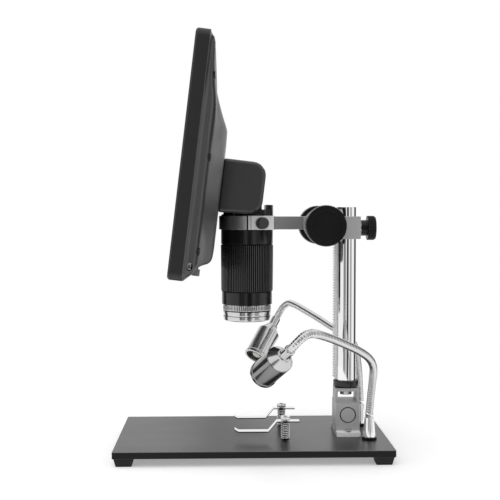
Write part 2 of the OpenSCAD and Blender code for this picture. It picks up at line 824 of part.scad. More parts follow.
module barrel_screw() {
    color([0.05, 0.05, 0.05])
        translate([barrel_x, 0, arm_z + arm_height / 2]) rotate([0, 90, clamp_screw_turn - 90]) {
            translate([0, 0, barrel_r + side_gap])
                cylinder(d = thumb_shank_d, h = thumb_r - barrel_r, $fn = fine);
            translate([0, 0, thumb_r])
                linear_extrude(thumb_length - 0.6) polygon(ribbed(thumb_d / 2, 0.35, thumb_ribs));
            translate([0, 0, thumb_r]) cylinder(d = thumb_d - 1, h = thumb_length, $fn = fine);
        }
}

// --- Barrel ---

module barrel_tube() {
    color([0.05, 0.05, 0.05]) translate([barrel_x, 0, 0]) rotate_extrude($fn = fine)
        polygon([
            [core_r - core_wall, core_z], [core_r, core_z], [core_r, band_z], [band_r, band_z],
            [band_r, clamp_z - side_gap], [barrel_r, clamp_z - side_gap], [barrel_r, clamp_top],
            [barrel_r - barrel_wall, clamp_top], [barrel_r - barrel_wall, band_z + 2],
            [core_r - core_wall, band_z + 2]
        ]);
}

module focus_ring() {
    inner = core_r + run_gap;
    tall = focus_ring_height - 2 * side_gap;
    color([0.07, 0.07, 0.07]) translate([barrel_x, 0, focus_ring_z + side_gap]) difference() {
        intersection() {
            linear_extrude(tall) polygon(ribbed(focus_ring_d / 2, focus_rib_depth, focus_ring_ribs));
            cylinder(r1 = focus_ring_d / 2 - 0.4, r2 = focus_ring_d / 2, h = tall, $fn = fine);
        }
        translate([0, 0, -cut]) cylinder(r = inner, h = tall + 2 * cut, $fn = fine);
    }
}

module lens_collar() {
    outer = lens_collar_d / 2;
    color([0.05, 0.05, 0.05]) translate([barrel_x, 0, 0]) rotate_extrude($fn = fine)
        polygon([
            [cell_r + seat_gap, lens_collar_z], [outer, lens_collar_z], [outer, focus_ring_z],
            [core_r + seat_gap, focus_ring_z], [core_r + seat_gap, core_z - seat_gap],
            [cell_r + seat_gap, core_z - seat_gap]
        ]);
}

module light_hood() {
    outer = hood_d / 2;
    inner = outer - hood_wall;
    groove_z = hood_z + hood_groove_rise;
    color([0.85, 0.85, 0.87]) translate([barrel_x, 0, 0]) rotate_extrude($fn = fine)
        polygon([
            [inner, hood_z], [outer - hood_chamfer, hood_z], [outer, hood_z + hood_chamfer],
            [outer, groove_z - hood_groove / 2], [outer - hood_groove, groove_z - hood_groove / 2],
            [outer - hood_groove, groove_z + hood_groove / 2], [outer, groove_z + hood_groove / 2],
            [outer, lens_collar_z], [cell_r + seat_gap, lens_collar_z],
            [cell_r + seat_gap, lens_collar_z - 2],
            [inner, lens_collar_z - 2]
        ]);
}

module lens_cell() {
    color([0.04, 0.04, 0.04]) translate([barrel_x, 0, cell_z]) difference() {
        union() {
            cylinder(r = cell_r, h = core_z - cell_z, $fn = fine);
            translate([0, 0, core_z - cell_z])
                cylinder(r = core_r - core_wall - seat_gap, h = cell_height - core_z + cell_z, $fn = fine);
        }
        translate([0, 0, -cut]) cylinder(r = cell_bore_r, h = cell_height + 2 * cut, $fn = fine);
    }
}

module objective_lens() {
    rim_r = cell_bore_r - seat_gap;
    bulge = 22;                                     // radius of each face
    sink = bulge - sqrt(bulge * bulge - rim_r * rim_r);
    color([0.6, 0.75, 0.85, 0.6]) translate([barrel_x, 0, cell_z + 5]) intersection() {
        cylinder(r = rim_r, h = 5, center = true, $fn = fine);
        translate([0, 0, bulge - sink - 0.75]) sphere(r = bulge, $fn = fine);
        translate([0, 0, -bulge + sink + 0.75]) sphere(r = bulge, $fn = fine);
    }
}

module led_ring() {
    color([0.9, 0.9, 0.85]) translate([barrel_x, 0, 0]) {
        difference() {
            translate([0, 0, led_board_z])
                cylinder(r = hood_d / 2 - hood_wall - seat_gap, h = led_board_thickness, $fn = fine);
            translate([0, 0, led_board_z - cut])
                cylinder(r = cell_bore_r, h = led_board_thickness + 2 * cut, $fn = fine);
        }
        for (i = [0 : led_count - 1]) rotate(i * 360 / led_count)
            translate([led_circle_r - led_size / 2, -led_size / 2, led_board_z - led_height])
                cube([led_size, led_size, led_height]);
    }
}

module sensor_board() {
    color([0.1, 0.3, 0.2]) translate([barrel_x, 0, sensor_z]) {
        cylinder(r = barrel_r - barrel_wall - seat_gap, h = sensor_thickness, $fn = fine);
        translate([-sensor_size / 2, -sensor_size / 2, -1]) cube([sensor_size, sensor_size, 1]);
    }
}

// --- Tilt hinge ---

module hinge_yoke() {
    rim_z = clamp_top + rim_rise;
    color([0.12, 0.12, 0.12]) difference() {
        union() {
            translate([barrel_x, 0, clamp_top]) cylinder(r = barrel_r, h = rim_rise, $fn = fine);
            translate([barrel_x, 0, clamp_top - spigot_depth])
                cylinder(r = barrel_r - barrel_wall - seat_gap, h = spigot_depth + rim_rise, $fn = fine);
            intersection() {
                translate([barrel_x, 0, clamp_top]) cylinder(r = lug_outer, h = hinge_rise, $fn = fine);
                union() {
                    translate([barrel_x - saddle_left, -drum_width / 2, clamp_top])
                        cube([saddle_left + lug_outer, drum_width, saddle_rise]);
                    translate([hinge_x - drum_r, -drum_width / 2, clamp_top])
                        cube([2 * drum_r - side_gap, drum_width, hinge_rise]);
                    translate([barrel_x + lug_inner, -drum_width / 2, clamp_top])
                        cube([lug_outer - lug_inner, drum_width, lug_rise]);
                }
            }
            pin_y(hinge_x, hinge_z, drum_r, -drum_width / 2, drum_width / 2);
        }
        pin_y(hinge_x, hinge_z, hinge_pin_d / 2 + run_gap, -drum_width, drum_width);
        translate([barrel_x, 0, clamp_top - spigot_depth - cut])
            cylinder(r = barrel_r - 2 * barrel_wall, h = spigot_depth - 1 + cut, $fn = fine);
    }
}

// Places its children, drawn in the display's own frame, on the tilt hinge
module in_display() {
    translate([hinge_x, 0, hinge_z]) rotate([0, screen_tilt, 0])
        translate([-hinge_n, 0, -hinge_s]) children();
}

module hinge_pin() {
    half = neck_width / 2 - neck_wall + pin_sink;
    color([0.75, 0.75, 0.76]) in_display() pin_y(hinge_n, hinge_s, hinge_pin_d / 2, -half, half);
}

// Disc along Y with rounded rims, for the neck's corners
module soft_disc(r, width, round) {
    rotate([90, 0, 0]) rotate_extrude($fn = soft) translate([0, -width / 2]) {
        square([r - round, width]);
        translate([0, round]) square([r, width - 2 * round]);
        for (y = [round, width - round]) translate([r - round, y]) circle(r = round, $fn = soft / 2);
    }
}

module neck_outer() {
    rear = hinge_n;
    top = neck_low + neck_height - neck_corner_r;
    intersection() {
        hull() {
            for (z = [hinge_s, top]) {
                translate([rear, 0, z]) soft_disc(neck_corner_r, neck_width, neck_round);
                translate([back_depth, 0, z - (z == top ? 0 : neck_flare)])
                    soft_disc(neck_corner_r, neck_width, neck_round);
            }
        }
        translate([back_depth, -neck_width, neck_low - neck_flare - cut])
            cube([neck_depth + cut, 2 * neck_width, neck_height + neck_flare + 2 * cut]);
    }
}

module neck_housing() {
    inner_half = neck_width / 2 - neck_wall;
    drum_half = drum_width / 2 + drum_gap;
    color([0.1, 0.1, 0.1]) in_display() difference() {
        union() {
            difference() {
                neck_outer();
                translate([back_depth - cut, -inner_half, neck_low + neck_wall])
                    cube([neck_depth + cut - neck_wall, 2 * inner_half, neck_height - 2 * neck_wall]);
            }
            intersection() {
                neck_outer();
                union() {
                    pin_y(hinge_n, hinge_s, shroud_r + 2, -drum_half - 2, drum_half + 2);
                    translate([hinge_n - notch_front - 2, -drum_half - 2, neck_low])
                        cube([notch_front + 2 + neck_corner_r, 2 * drum_half + 4, neck_corner_r + 2]);
                    for (side = [-1, 1]) {
                        pin_y(hinge_n, hinge_s, pin_boss_r, side * (drum_half + inner_half) / 2
                            - (inner_half - drum_half) / 2, side * (drum_half + inner_half) / 2
                            + (inner_half - drum_half) / 2);
                        for (z = neck_screw_rows)
                            pin_x(side * neck_screw_y, z, neck_boss_r,
                                back_depth, back_depth + neck_screw_grip + 3);
                    }
                }
            }
        }
        pin_y(hinge_n, hinge_s, shroud_r, -drum_half, drum_half);
        translate([hinge_n - notch_front, -drum_half, neck_low - neck_flare - cut])
            cube([notch_front + neck_corner_r + cut, 2 * drum_half, neck_corner_r + neck_flare + cut]);
        pin_y(hinge_n, hinge_s, hinge_pin_d / 2 + seat_gap,
            -inner_half - pin_sink - seat_gap, inner_half + pin_sink + seat_gap);
        for (y = [-neck_screw_y, neck_screw_y], z = neck_screw_rows)
            pin_x(y, z, neck_screw_d / 2 + thread_gap,
                back_depth - cut, back_depth + neck_screw_grip + 0.5);
    }
}

module neck_screws() {
    head_x = back_depth - shell_wall - neck_screw_head_height;
    color([0.6, 0.6, 0.6]) in_display()
        for (y = [-neck_screw_y, neck_screw_y], z = neck_screw_rows) {
            pin_x(y, z, neck_screw_d / 2, head_x, back_depth + neck_screw_grip);
            pin_x(y, z, neck_screw_head_d / 2, head_x, head_x + neck_screw_head_height);
        }
}

// --- Display housing ---

// Rounded slab of the housing's outline, from depth x0 to x1, smaller by inset all round
module housing_slab(x0, x1, inset) {
    translate([x0, 0, screen_height / 2]) rotate([90, 0, 90]) linear_extrude(x1 - x0)
        rounded_rect(screen_width - 2 * inset, screen_height - 2 * inset, screen_corner_r - inset);
}

// Outline in depth and height, drawn over the whole width
module over_width(half) {
    across(2 * half) children();
}

// Outline in depth and half width, drawn from height z0 to z1 on both sides
module over_height(z0, z1, points) {
    translate([0, 0, z0]) linear_extrude(z1 - z0)
        polygon(concat(points, [for (i = [len(points) - 1 : -1 : 0]) [points[i].x, -points[i].y]]));
}

module cover_flat(wall) {
    half = screen_width / 2;
    deep = back_step - wall;
    start = bezel_depth + chamfer_start;
    low = wall * 1.4;
    front = bezel_depth - (wall > 0 ? cut : 0);
    intersection() {
        over_width(half) polygon([
            [front, low], [start, low], [deep, deep - start + low],
            [deep, hump_foot_high - 2], [mid_depth - wall, screen_height - mid_slope_drop],
            [top_depth - wall, screen_height - top_slope_drop], [bezel_depth + 0.2, screen_height - wall],
            [front, screen_height - wall]
        ]);
        over_height(-cut, screen_height + cut, [
            [front - cut, half - wall], [bezel_depth + 2, half - wall],
            [deep, half - back_edge - wall], [deep + cut, half - back_edge - wall]
        ]);
        housing_slab(front, back_depth, wall);
    }
}

module cover_hump(wall) {
    deep = back_depth - wall;
    foot = back_step - 1 - wall;
    slope = bezel_depth + chamfer_start - wall * 1.4;
    intersection() {
        over_width(hump_foot) polygon([
            [foot, foot - slope], [deep - 6, deep - 6 - slope], [deep - 2.5, hump_low - 2.9 + wall],
            [deep - 0.6, hump_low - 1.8 + wall], [deep, hump_low + wall], [deep, hump_high - wall],
            [deep - 2.4, hump_high + 3.4 - wall], [deep - 4.6, hump_high + 7.5 - wall],
            [deep - 6.5, hump_high + 10.3 - wall], [deep - 8.3, hump_high + 14.1 - wall],
            [foot, hump_foot_high - wall]
        ]);
        over_height(-cut, screen_height, [
            [foot - cut, hump_foot - wall], [back_step - wall, hump_foot - wall], [deep, hump_half - wall],
            [deep + cut, hump_half - wall]
        ]);
    }
}

// Upright axis of the dimmer, from the display's lower edge
module dimmer_axis() {
    translate([dimmer_x, -dimmer_y, 0]) children();
}

module rear_cover() {
    half = screen_width / 2;
    color([0.08, 0.08, 0.08]) in_display() difference() {
        union() {
            difference() {
                union() {
                    cover_flat(0);
                    cover_hump(0);
                }
                cover_flat(shell_wall);
                cover_hump(shell_wall);
            }
            for (y = [-post_y, post_y], z = post_rows)
                pin_x(y, z, post_r, board_x + board_thickness, back_depth - 1);
            for (y = [-cover_screw_y, cover_screw_y], z = cover_screw_rows)
                intersection() {
                    pin_x(y, z, cover_boss_r, bezel_depth, back_depth);
                    cover_flat(0);
                }
            intersection() {
                dimmer_axis() cylinder(r = dimmer_pocket_r + dimmer_boss_wall, h = dimmer_roof, $fn = fine);
                cover_flat(0);
            }
        }
        for (y = [-cover_screw_y, cover_screw_y], z = cover_screw_rows) {
            pin_x(y, z, cover_screw_d / 2 + thread_gap, bezel_depth - cut, back_depth);
            pin_x(y, z, cover_screw_head_d / 2 + thread_gap, bezel_depth + cover_screw_seat, back_depth);
        }
        for (y = [-neck_screw_y, neck_screw_y], z = neck_screw_rows)
            pin_x(y, z, neck_screw_d / 2 + thread_gap, back_depth - shell_wall - cut, back_depth + cut);
        translate([jack_x, -half + side_cut, jack_z]) rotate([90, 0, 0]) linear_extrude(2 * side_cut)
            rounded_rect(jack_round_d, jack_length, jack_round_d / 2 - 0.01);
        for (z = port_heights) translate([jack_x, half - side_cut, z])
            translate([-port_height / 2, 0, -port_width / 2]) cube([port_height, 2 * side_cut, port_width]);
        dimmer_axis() {
            translate([0, 0, -cut])
                cylinder(r = dimmer_pocket_r, h = dimmer_top + side_gap + cut, $fn = fine);
            cylinder(d = dimmer_stem_d + 2 * run_gap, h = dimmer_roof + cut, $fn = fine);
        }
    }
}

module cover_screws() {
    head_x = bezel_depth + cover_screw_seat;
    color([0.15, 0.15, 0.15]) in_display()
        for (y = [-cover_screw_y, cover_screw_y], z = cover_screw_rows) {
            pin_x(y, z, cover_screw_d / 2, bezel_depth - cover_screw_grip, head_x + cut);
            pin_x(y, z, cover_screw_head_d / 2, head_x, head_x + cover_screw_head_height);
        }
}

module front_bezel() {
    inner_half = screen_width / 2 - shell_wall;
    color([0.1, 0.1, 0.1]) in_display() difference() {
        union() {
            difference() {
                hull() {
                    housing_slab(0, 0.1, bezel_bevel);
                    housing_slab(bezel_bevel, bezel_depth, 0);
                }
                housing_slab(front_wall, bezel_depth + cut, shell_wall);
            }
            for (side = [-1, 1], z = cover_screw_rows)
                pin_x(side * cover_screw_y, z, cover_boss_r, front_wall - 0.5, bezel_depth);
        }
        translate([-cut, -view_width / 2, view_low]) cube([front_wall + 2 * cut, view_width, view_height]);
        for (i = [-2 : 2])
            pin_x(i * button_pitch, button_z, button_d / 2 + 2 * run_gap, -cut, front_wall + cut);
        for (side = [-1, 1], z = cover_screw_rows)
            pin_x(side * cover_screw_y, z, cover_screw_d / 2 + thread_gap,
                bezel_depth - cover_screw_grip - 0.4, bezel_depth + cut);
    }
}

module display_glass() {
    color([0.02, 0.02, 0.03]) in_display()
        translate([glass_depth, -view_width / 2 + glass_gap, view_low + glass_gap])
            cube([front_wall - glass_depth, view_width - 2 * glass_gap, view_height - 2 * glass_gap]);
}

module lcd_panel() {
    color([0.3, 0.3, 0.32]) in_display()
        translate([front_wall, -view_width / 2 - panel_border, view_low - panel_border])
            cube([panel_thickness, view_width + 2 * panel_border, view_height + 2 * panel_border]);
}

module main_board() {
    color([0.05, 0.3, 0.15]) in_display()
        translate([board_x, -board_half, board_low])
            cube([board_thickness, 2 * board_half, board_high - board_low]);
}

module port_sockets() {
    wall_y = screen_width / 2 - back_edge - shell_wall;
    color([0.5, 0.5, 0.5]) in_display() {
        difference() {
            translate([board_x - 4, -wall_y + 0.3, jack_z - jack_length / 2 + 0.3])
                cube([4, port_body, jack_length]);
            pin_y(jack_x, jack_z, jack_round_d / 2 - 0.4, -wall_y - cut, -wall_y + port_body - 3);
        }
        for (z = port_heights) difference() {
            translate([board_x - 4, wall_y - port_body - 0.3, z - port_width / 2])
                cube([4, port_body, port_width]);
            translate([jack_x - 1, wall_y - port_body + 2, z - port_width / 2 + 1])
                cube([1.6, port_body + cut, port_width - 2]);
        }
    }
}

module dimmer_knob() {
    color([0.3, 0.3, 0.3]) in_display() dimmer_axis() {
        translate([0, 0, dimmer_low]) linear_extrude(dimmer_height)
            polygon(ribbed(dimmer_d / 2, 0.25, 18));
        translate([0, 0, dimmer_low + 1])
            cylinder(d = dimmer_stem_d, h = dimmer_roof - dimmer_low - 1, $fn = fine);
    }
}

module push_button(place) {
    back = front_wall + side_gap;
    color([0.12, 0.12, 0.12]) in_display() {
        pin_x(place * button_pitch, button_z, button_d / 2, -button_proud, back + 0.5);
        pin_x(place * button_pitch, button_z, button_d / 2 + button_flange,
            back, back + button_flange_height);
    }
}

module power_button() { push_button(-2); }
module menu_button() { push_button(-1); }
module down_button() { push_button(0); }
module up_button() { push_button(1); }
module capture_button() { push_button(2); }

// --- Lamps ---

module socket_rings() {
    color([0.05, 0.05, 0.05]) at_sockets() translate([0, 0, stage_z]) difference() {
        cylinder(d = socket_foot_d + 2 * socket_ring_wall, h = socket_ring_height, $fn = fine);
        translate([0, 0, -cut])
            cylinder(d = socket_spigot_d + 2 * run_gap, h = socket_ring_height + 2 * cut, $fn = fine);
    }
}

module lamp_socket(side) {
    foot = stage_z + socket_ring_height + socket_gap;
    color([0.85, 0.85, 0.87]) translate([socket_x, side * socket_y, 0]) {
        translate([0, 0, foot]) cylinder(d1 = socket_foot_d, d2 = socket_top_d,
            h = stage_z + socket_height - foot, $fn = fine);
        translate([0, 0, foot_height + 0.5])
            cylinder(d = socket_spigot_d, h = base_thickness + 3, $fn = fine);
    }
}

module near_lamp_socket() { lamp_socket(-1); }
module far_lamp_socket() { lamp_socket(1); }

// Point on a smooth curve through the route, at step t after point i
function on_route(route, i, t) =
    let (last = len(route) - 1)
    let (a = route[max(i - 1, 0)], b = route[i], c = route[min(i + 1, last)], d = route[min(i + 2, last)])
    0.5 * (2 * b + (c - a) * t + (2 * a - 5 * b + 4 * c - d) * t * t + (3 * b - a - 3 * c + d) * t * t * t);

function unit(v) = v / norm(v);

// Round bar of n sides along its centres, with a radius at each of them. Its ends are square to the
// directions start and end, and across is a direction that the bar never runs along.
module bar_along(centres, radii, n, start, end, across) {
    last = len(centres) - 1;
    points = [
        for (i = [0 : last])
            let (t = i == 0 ? start : i == last ? end : unit(centres[i + 1] - centres[i - 1]))
            let (u = unit(cross(across, t)), v = cross(t, u))
            for (k = [0 : n - 1])
                let (a = k * 360 / n) centres[i] + radii[i] * (cos(a) * u + sin(a) * v)
    ];
    walls = [
        for (i = [0 : last - 1], k = [0 : n - 1]) each [
            [i * n + k, (i + 1) * n + k, (i + 1) * n + (k + 1) % n],
            [i * n + k, (i + 1) * n + (k + 1) % n, i * n + (k + 1) % n]
        ]
    ];
    polyhedron(points, concat(walls, [[for (k = [0 : n - 1]) k]],
        [[for (k = [n - 1 : -1 : 0]) last * n + k]]));
}

// Flexible arm with a round lower end about its pivot
module gooseneck(side, route, aim) {
    last = len(route) - 1;
    r = gooseneck_d / 2;
    tip_angles = [20, 55];
    centres = concat(
        [for (a = tip_angles) [0, 0, -r * cos(a)]],
        [for (i = [0 : last - 1], k = [0 : route_steps - 1]) on_route(route, i, k / route_steps)],
        [route[last]]
    );
    radii = concat([for (a = tip_angles) r * sin(a)], [for (i = [0 : last * route_steps]) r]);
    color([0.8, 0.8, 0.82]) translate([socket_x, side * socket_y, pivot_z])
        bar_along(centres, radii, route_sides, [0, 0, 1], unit(aim), [0.5, side * 0.85, 0]);
}

module near_gooseneck() { gooseneck(-1, near_route, near_aim); }
module far_gooseneck() { gooseneck(1, far_route, far_aim); }

// Turns +Z to the lamp's direction, at the end of its arm
module at_lamp(side, route, aim) {
    tip = route[len(route) - 1];
    d = unit(aim);
    translate([socket_x + tip.x, side * socket_y + tip.y, pivot_z + tip.z])
        rotate([0, acos(d.z), atan2(d.y, d.x)]) children();
}

module lamp_shell() {
    neck_r = lamp_neck_d / 2;
    body_r = lamp_d / 2;
    body_z = lamp_seat + lamp_neck + lamp_cone;
    front = body_z + lamp_length;
    inner = body_r - lamp_wall;
    color([0.75, 0.75, 0.76]) rotate_extrude($fn = fine)
        polygon([
            [0, lamp_seat], [neck_r - 0.6, lamp_seat], [neck_r, lamp_seat + 0.8],
            [neck_r, lamp_seat + lamp_neck - 1.6], [neck_r + 1, lamp_seat + lamp_neck - 1],
            [neck_r + 1, lamp_seat + lamp_neck], [body_r - 0.5, body_z - 0.4], [body_r, body_z],
            [body_r, front - 3], [body_r + lamp_lip, front - 2.4], [body_r + lamp_lip, front],
            [inner, front], [inner, front - lamp_mouth - led_puck], [0, front - lamp_mouth - led_puck]
        ]);
}

module lamp_led() {
    front = lamp_seat + lamp_neck + lamp_cone + lamp_length;
    inner = lamp_d / 2 - lamp_wall - seat_gap;
    color([0.1, 0.1, 0.1]) translate([0, 0, front - lamp_mouth - led_puck]) {
        cylinder(r = inner, h = led_puck, $fn = fine);
        translate([0, 0, led_puck]) cylinder(r1 = 4, r2 = 3.2, h = 1.4, $fn = fine);
    }
}

module near_lamp_shell() { at_lamp(-1, near_route, near_aim) lamp_shell(); }
module far_lamp_shell() { at_lamp(1, far_route, far_aim) lamp_shell(); }
module near_lamp_led() { at_lamp(-1, near_route, near_aim) lamp_led(); }
module far_lamp_led() { at_lamp(1, far_route, far_aim) lamp_led(); }

// --- Stage clips ---

module clip_posts() {
    color([0.8, 0.8, 0.81]) at_clips() {
        translate([0, 0, foot_height + 0.5])
            cylinder(d = post_d, h = base_thickness - 0.5 + clip_rise + nut_height, $fn = fine);
    }
}

module clip_nuts() {
    color([0.8, 0.8, 0.81]) at_clips() translate([0, 0, stage_z + clip_rise + clip_thickness / 2 + side_gap])
        difference() {
            linear_extrude(nut_height) polygon(ribbed(nut_d / 2, 0.3, 24));
            translate([0, 0, -cut]) cylinder(d = post_d + 2 * seat_gap, h = nut_height + 2 * cut, $fn = fine);
        }
}

// Coil springs, from the base plate to under the strips
module clip_springs() {
    low = stage_z + spring_wire / 2;
    rise = clip_rise - clip_thickness / 2 - spring_wire - side_gap;
    coil_r = (spring_d - spring_wire) / 2;
    count = spring_turns * spring_steps;
    centres = [
        for (i = [0 : count])
            let (a = i * 360 / spring_steps)
            [coil_r * cos(a), coil_r * sin(a), low + rise * i / count]
    ];
    radii = [for (i = [0 : count]) spring_wire / 2];
    color([0.8, 0.8, 0.82]) at_clips()
        bar_along(centres, radii, spring_sides, [0, 1, 0], [0, 1, 0], [0, 0, 1]);
}

module clip_strip(side) {
    half = clip_thickness / 2;
    line = [
        [-clip_reach, clip_press + clip_tip_rise], [-clip_reach + clip_tip_run, clip_press],
        [-clip_flat + clip_press_length, clip_press], [-clip_bend, clip_rise], [clip_tail, clip_rise]
    ];
    color([0.85, 0.85, 0.87]) difference() {
        translate([clip_x, side * clip_y, stage_z]) across(clip_width)
            polygon(concat([for (p = line) p + [0, half]],
                [for (i = [len(line) - 1 : -1 : 0]) line[i] - [0, half]]));
        translate([clip_x, side * clip_y, stage_z])
            cylinder(d = post_d + 2 * run_gap, h = clip_rise * 2, $fn = fine);
    }
}

module near_clip() { clip_strip(-1); }
module far_clip() { clip_strip(1); }

base_plate();
rubber_feet();
foot_screws();
column_bracket();
bracket_screws();
column_bolt();
column_tube();
column_cap();
column_collar();
gear_rack();
socket_rings();
clip_posts();
clip_springs();
clip_nuts();
near_clip();
far_clip();
near_lamp_socket();
near_gooseneck();
near_lamp_shell();
near_lamp_led();
far_lamp_socket();
far_gooseneck();
far_lamp_shell();
far_lamp_led();
focus_carriage();
holder_arm();
arm_screws();
shaft_bushes();
lock_bush();
lock_knob();
lock_stud();
focus_shaft();
pinion();
focus_knobs();
barrel_screw();
barrel_tube();
lens_collar();
light_hood();
lens_cell();
objective_lens();
led_ring();
sensor_board();
focus_ring();
hinge_yoke();
hinge_pin();
neck_housing();
neck_screws();
rear_cover();
cover_screws();
front_bezel();
display_glass();
lcd_panel();
main_board();
port_sockets();
dimmer_knob();
power_button();
menu_button();
down_button();
up_button();
capture_button();
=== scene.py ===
import bpy
import bmesh
import json
from math import radians, sin, cos, pi
from mathutils import Matrix, Vector


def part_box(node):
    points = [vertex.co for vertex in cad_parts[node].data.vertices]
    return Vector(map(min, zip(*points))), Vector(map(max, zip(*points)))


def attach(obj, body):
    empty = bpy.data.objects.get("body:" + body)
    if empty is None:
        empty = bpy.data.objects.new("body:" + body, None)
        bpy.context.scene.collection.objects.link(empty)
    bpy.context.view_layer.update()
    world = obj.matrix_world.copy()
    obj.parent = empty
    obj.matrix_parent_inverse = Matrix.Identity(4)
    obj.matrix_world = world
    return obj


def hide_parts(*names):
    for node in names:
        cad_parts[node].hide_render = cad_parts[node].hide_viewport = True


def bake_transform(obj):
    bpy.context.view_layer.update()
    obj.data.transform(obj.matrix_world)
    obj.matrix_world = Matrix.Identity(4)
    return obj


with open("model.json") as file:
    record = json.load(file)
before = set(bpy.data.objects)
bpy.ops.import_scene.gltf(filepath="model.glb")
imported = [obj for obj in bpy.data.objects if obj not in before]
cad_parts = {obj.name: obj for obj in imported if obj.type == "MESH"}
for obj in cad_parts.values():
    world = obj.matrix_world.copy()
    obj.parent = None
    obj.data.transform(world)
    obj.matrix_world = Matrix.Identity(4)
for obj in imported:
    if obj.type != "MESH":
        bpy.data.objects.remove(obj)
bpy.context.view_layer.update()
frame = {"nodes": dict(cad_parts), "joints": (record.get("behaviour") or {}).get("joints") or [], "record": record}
nodes = frame["nodes"]
mm = 0.001

camera = {"place": (-0.0233, -0.7346, 0.1787), "lens": 69.6, "sensor": 36, "clip": 0.01, "yaw": 1.70,
          "pitch": 2.18}
studio = {"worldLight": 0.62, "sunPower": 1.1, "sunSoftness": 70, "sunTurn": (18, -22), "floorRadius": 0.33,
          "floorGlow": 0.32, "floorColour": 0.86}
# the white panels and grey cards round the object, which only polished pieces see: the middle and the width of
# each in degrees, counted from the near side toward the right, and its level
tent = {"leftBackdrop": (-161, 42, 0.95), "leftWall": (-74, 70, 1.0), "leftCard": (-22, 10, 0.35),
        "nearStrip": (-6, 6, 1.0), "rightStrip": (30, 12, 1.0), "rightCard": (48, 8, 0.5),
        "rightWall": (77, 36, 1.0), "rightBackdrop": (161, 38, 0.95)}
# the level of the gaps between the panels, the panels' fade in degrees, and the heights between which the white
# ceiling comes in
tentEnds = {"gap": 0.06, "fade": 4, "ceiling": (0.55, 0.75)}


def newObject(bm, name, materials=()):
    mesh = bpy.data.meshes.new(name)
    bm.to_mesh(mesh)
    bm.free()
    made = bpy.data.objects.new(name, mesh)
    bpy.context.scene.collection.objects.link(made)
    for material in materials:
        mesh.materials.append(material)
    return made


def addCamera():
    data = bpy.data.cameras.new("studioCamera")
    data.lens = camera["lens"]
    data.sensor_width = camera["sensor"]
    data.clip_start = camera["clip"]
    view = bpy.data.objects.new("studioCamera", data)
    view.location = camera["place"]
    view.rotation_euler = (radians(90 - camera["pitch"]), 0, -radians(camera["yaw"]))
    bpy.context.scene.collection.objects.link(view)
    bpy.context.scene.camera = view


def addNode(tree, kind, values=None, **settings):
    made = tree.nodes.new(kind)
    for name, value in settings.items():
        setattr(made, name, value)
    for name, value in (values or {}).items():
        if isinstance(value, bpy.types.NodeSocket):
            tree.links.new(value, made.inputs[name])
        else:
            made.inputs[name].default_value = value
    return made


def calculate(tree, operation, first, second):
    return addNode(tree, "ShaderNodeMath", {0: first, 1: second}, operation=operation).outputs[0]


def mapped(tree, value, low, high):  # 0 where the value is low and 1 where it is high
    return addNode(tree, "ShaderNodeMapRange", {"Value": value, "From Min": low, "From Max": high}).outputs[0]


def blendColours(tree, share, first, second):
    return addNode(tree, "ShaderNodeMix", {0: share, 6: first, 7: second}, data_type="RGBA").outputs[2]


def blendShaders(tree, share, first, second):
    return addNode(tree, "ShaderNodeMixShader", {0: share, 1: first, 2: second}).outputs[0]


def addRamp(tree, factor, stops):
    ramp = addNode(tree, "ShaderNodeValToRGB", {"Fac": factor})
    elements = ramp.color_ramp.elements
    while len(elements) > 1:
        elements.remove(elements[-1])
    elements[0].position, elements[0].color = stops[0]
    for place, colour in stops[1:]:
        elements.new(place).color = colour
    return ramp.outputs["Color"]


def grey(level):
    return (level, level, level, 1)


def tentStops():  # the panels as stops of a ramp that goes once round the object
    stops = []
    fade, gap = tentEnds["fade"] / 360, grey(tentEnds["gap"])
    for middle, width, level in tent.values():
        low, high = 0.5 + (middle - width / 2) / 360, 0.5 + (middle + width / 2) / 360
        stops += [(low - fade, gap), (low, grey(level)), (high, grey(level)), (high + fade, gap)]
    return [(min(max(place, 0), 1), colour) for place, colour in stops]


def addWorld():
    world = bpy.data.worlds.new("studioWorld")
    bpy.context.scene.world = world
    world.use_nodes = True
    tree = world.node_tree
    tree.nodes.clear()
    toward = addNode(tree, "ShaderNodeTexCoord").outputs["Generated"]
    parts = addNode(tree, "ShaderNodeSeparateXYZ", {"Vector": toward}).outputs
    turn = calculate(tree, "ARCTAN2", parts["X"], calculate(tree, "MULTIPLY", parts["Y"], -1))
    walls = addRamp(tree, mapped(tree, turn, -pi, pi), tentStops())
    panels = blendColours(tree, mapped(tree, parts["Z"], *tentEnds["ceiling"]), walls, grey(1))
    plain, soft, white = (
        addNode(tree, "ShaderNodeBackground", {"Color": colour, "Strength": strength}).outputs[0]
        for colour, strength in ((grey(1), studio["worldLight"]), (panels, 1), (grey(1), 1)))
    rays = addNode(tree, "ShaderNodeLightPath").outputs
    glossy = blendShaders(tree, rays["Is Glossy Ray"], plain, soft)
    seen = calculate(tree, "MAXIMUM", rays["Is Camera Ray"], rays["Is Transmission Ray"])
    mixed = blendShaders(tree, seen, glossy, white)
    addNode(tree, "ShaderNodeOutputWorld", {"Surface": mixed})
    bpy.context.scene.view_settings.view_transform = "Standard"


def addTopLight():
    data = bpy.data.lights.new("topLight", "SUN")
    data.energy = studio["sunPower"]
    data.angle = radians(studio["sunSoftness"])
    lamp = bpy.data.objects.new("topLight", data)
    lamp.rotation_euler = [radians(turn) for turn in studio["sunTurn"]] + [0]
    lamp.visible_glossy = False
    bpy.context.scene.collection.objects.link(lamp)


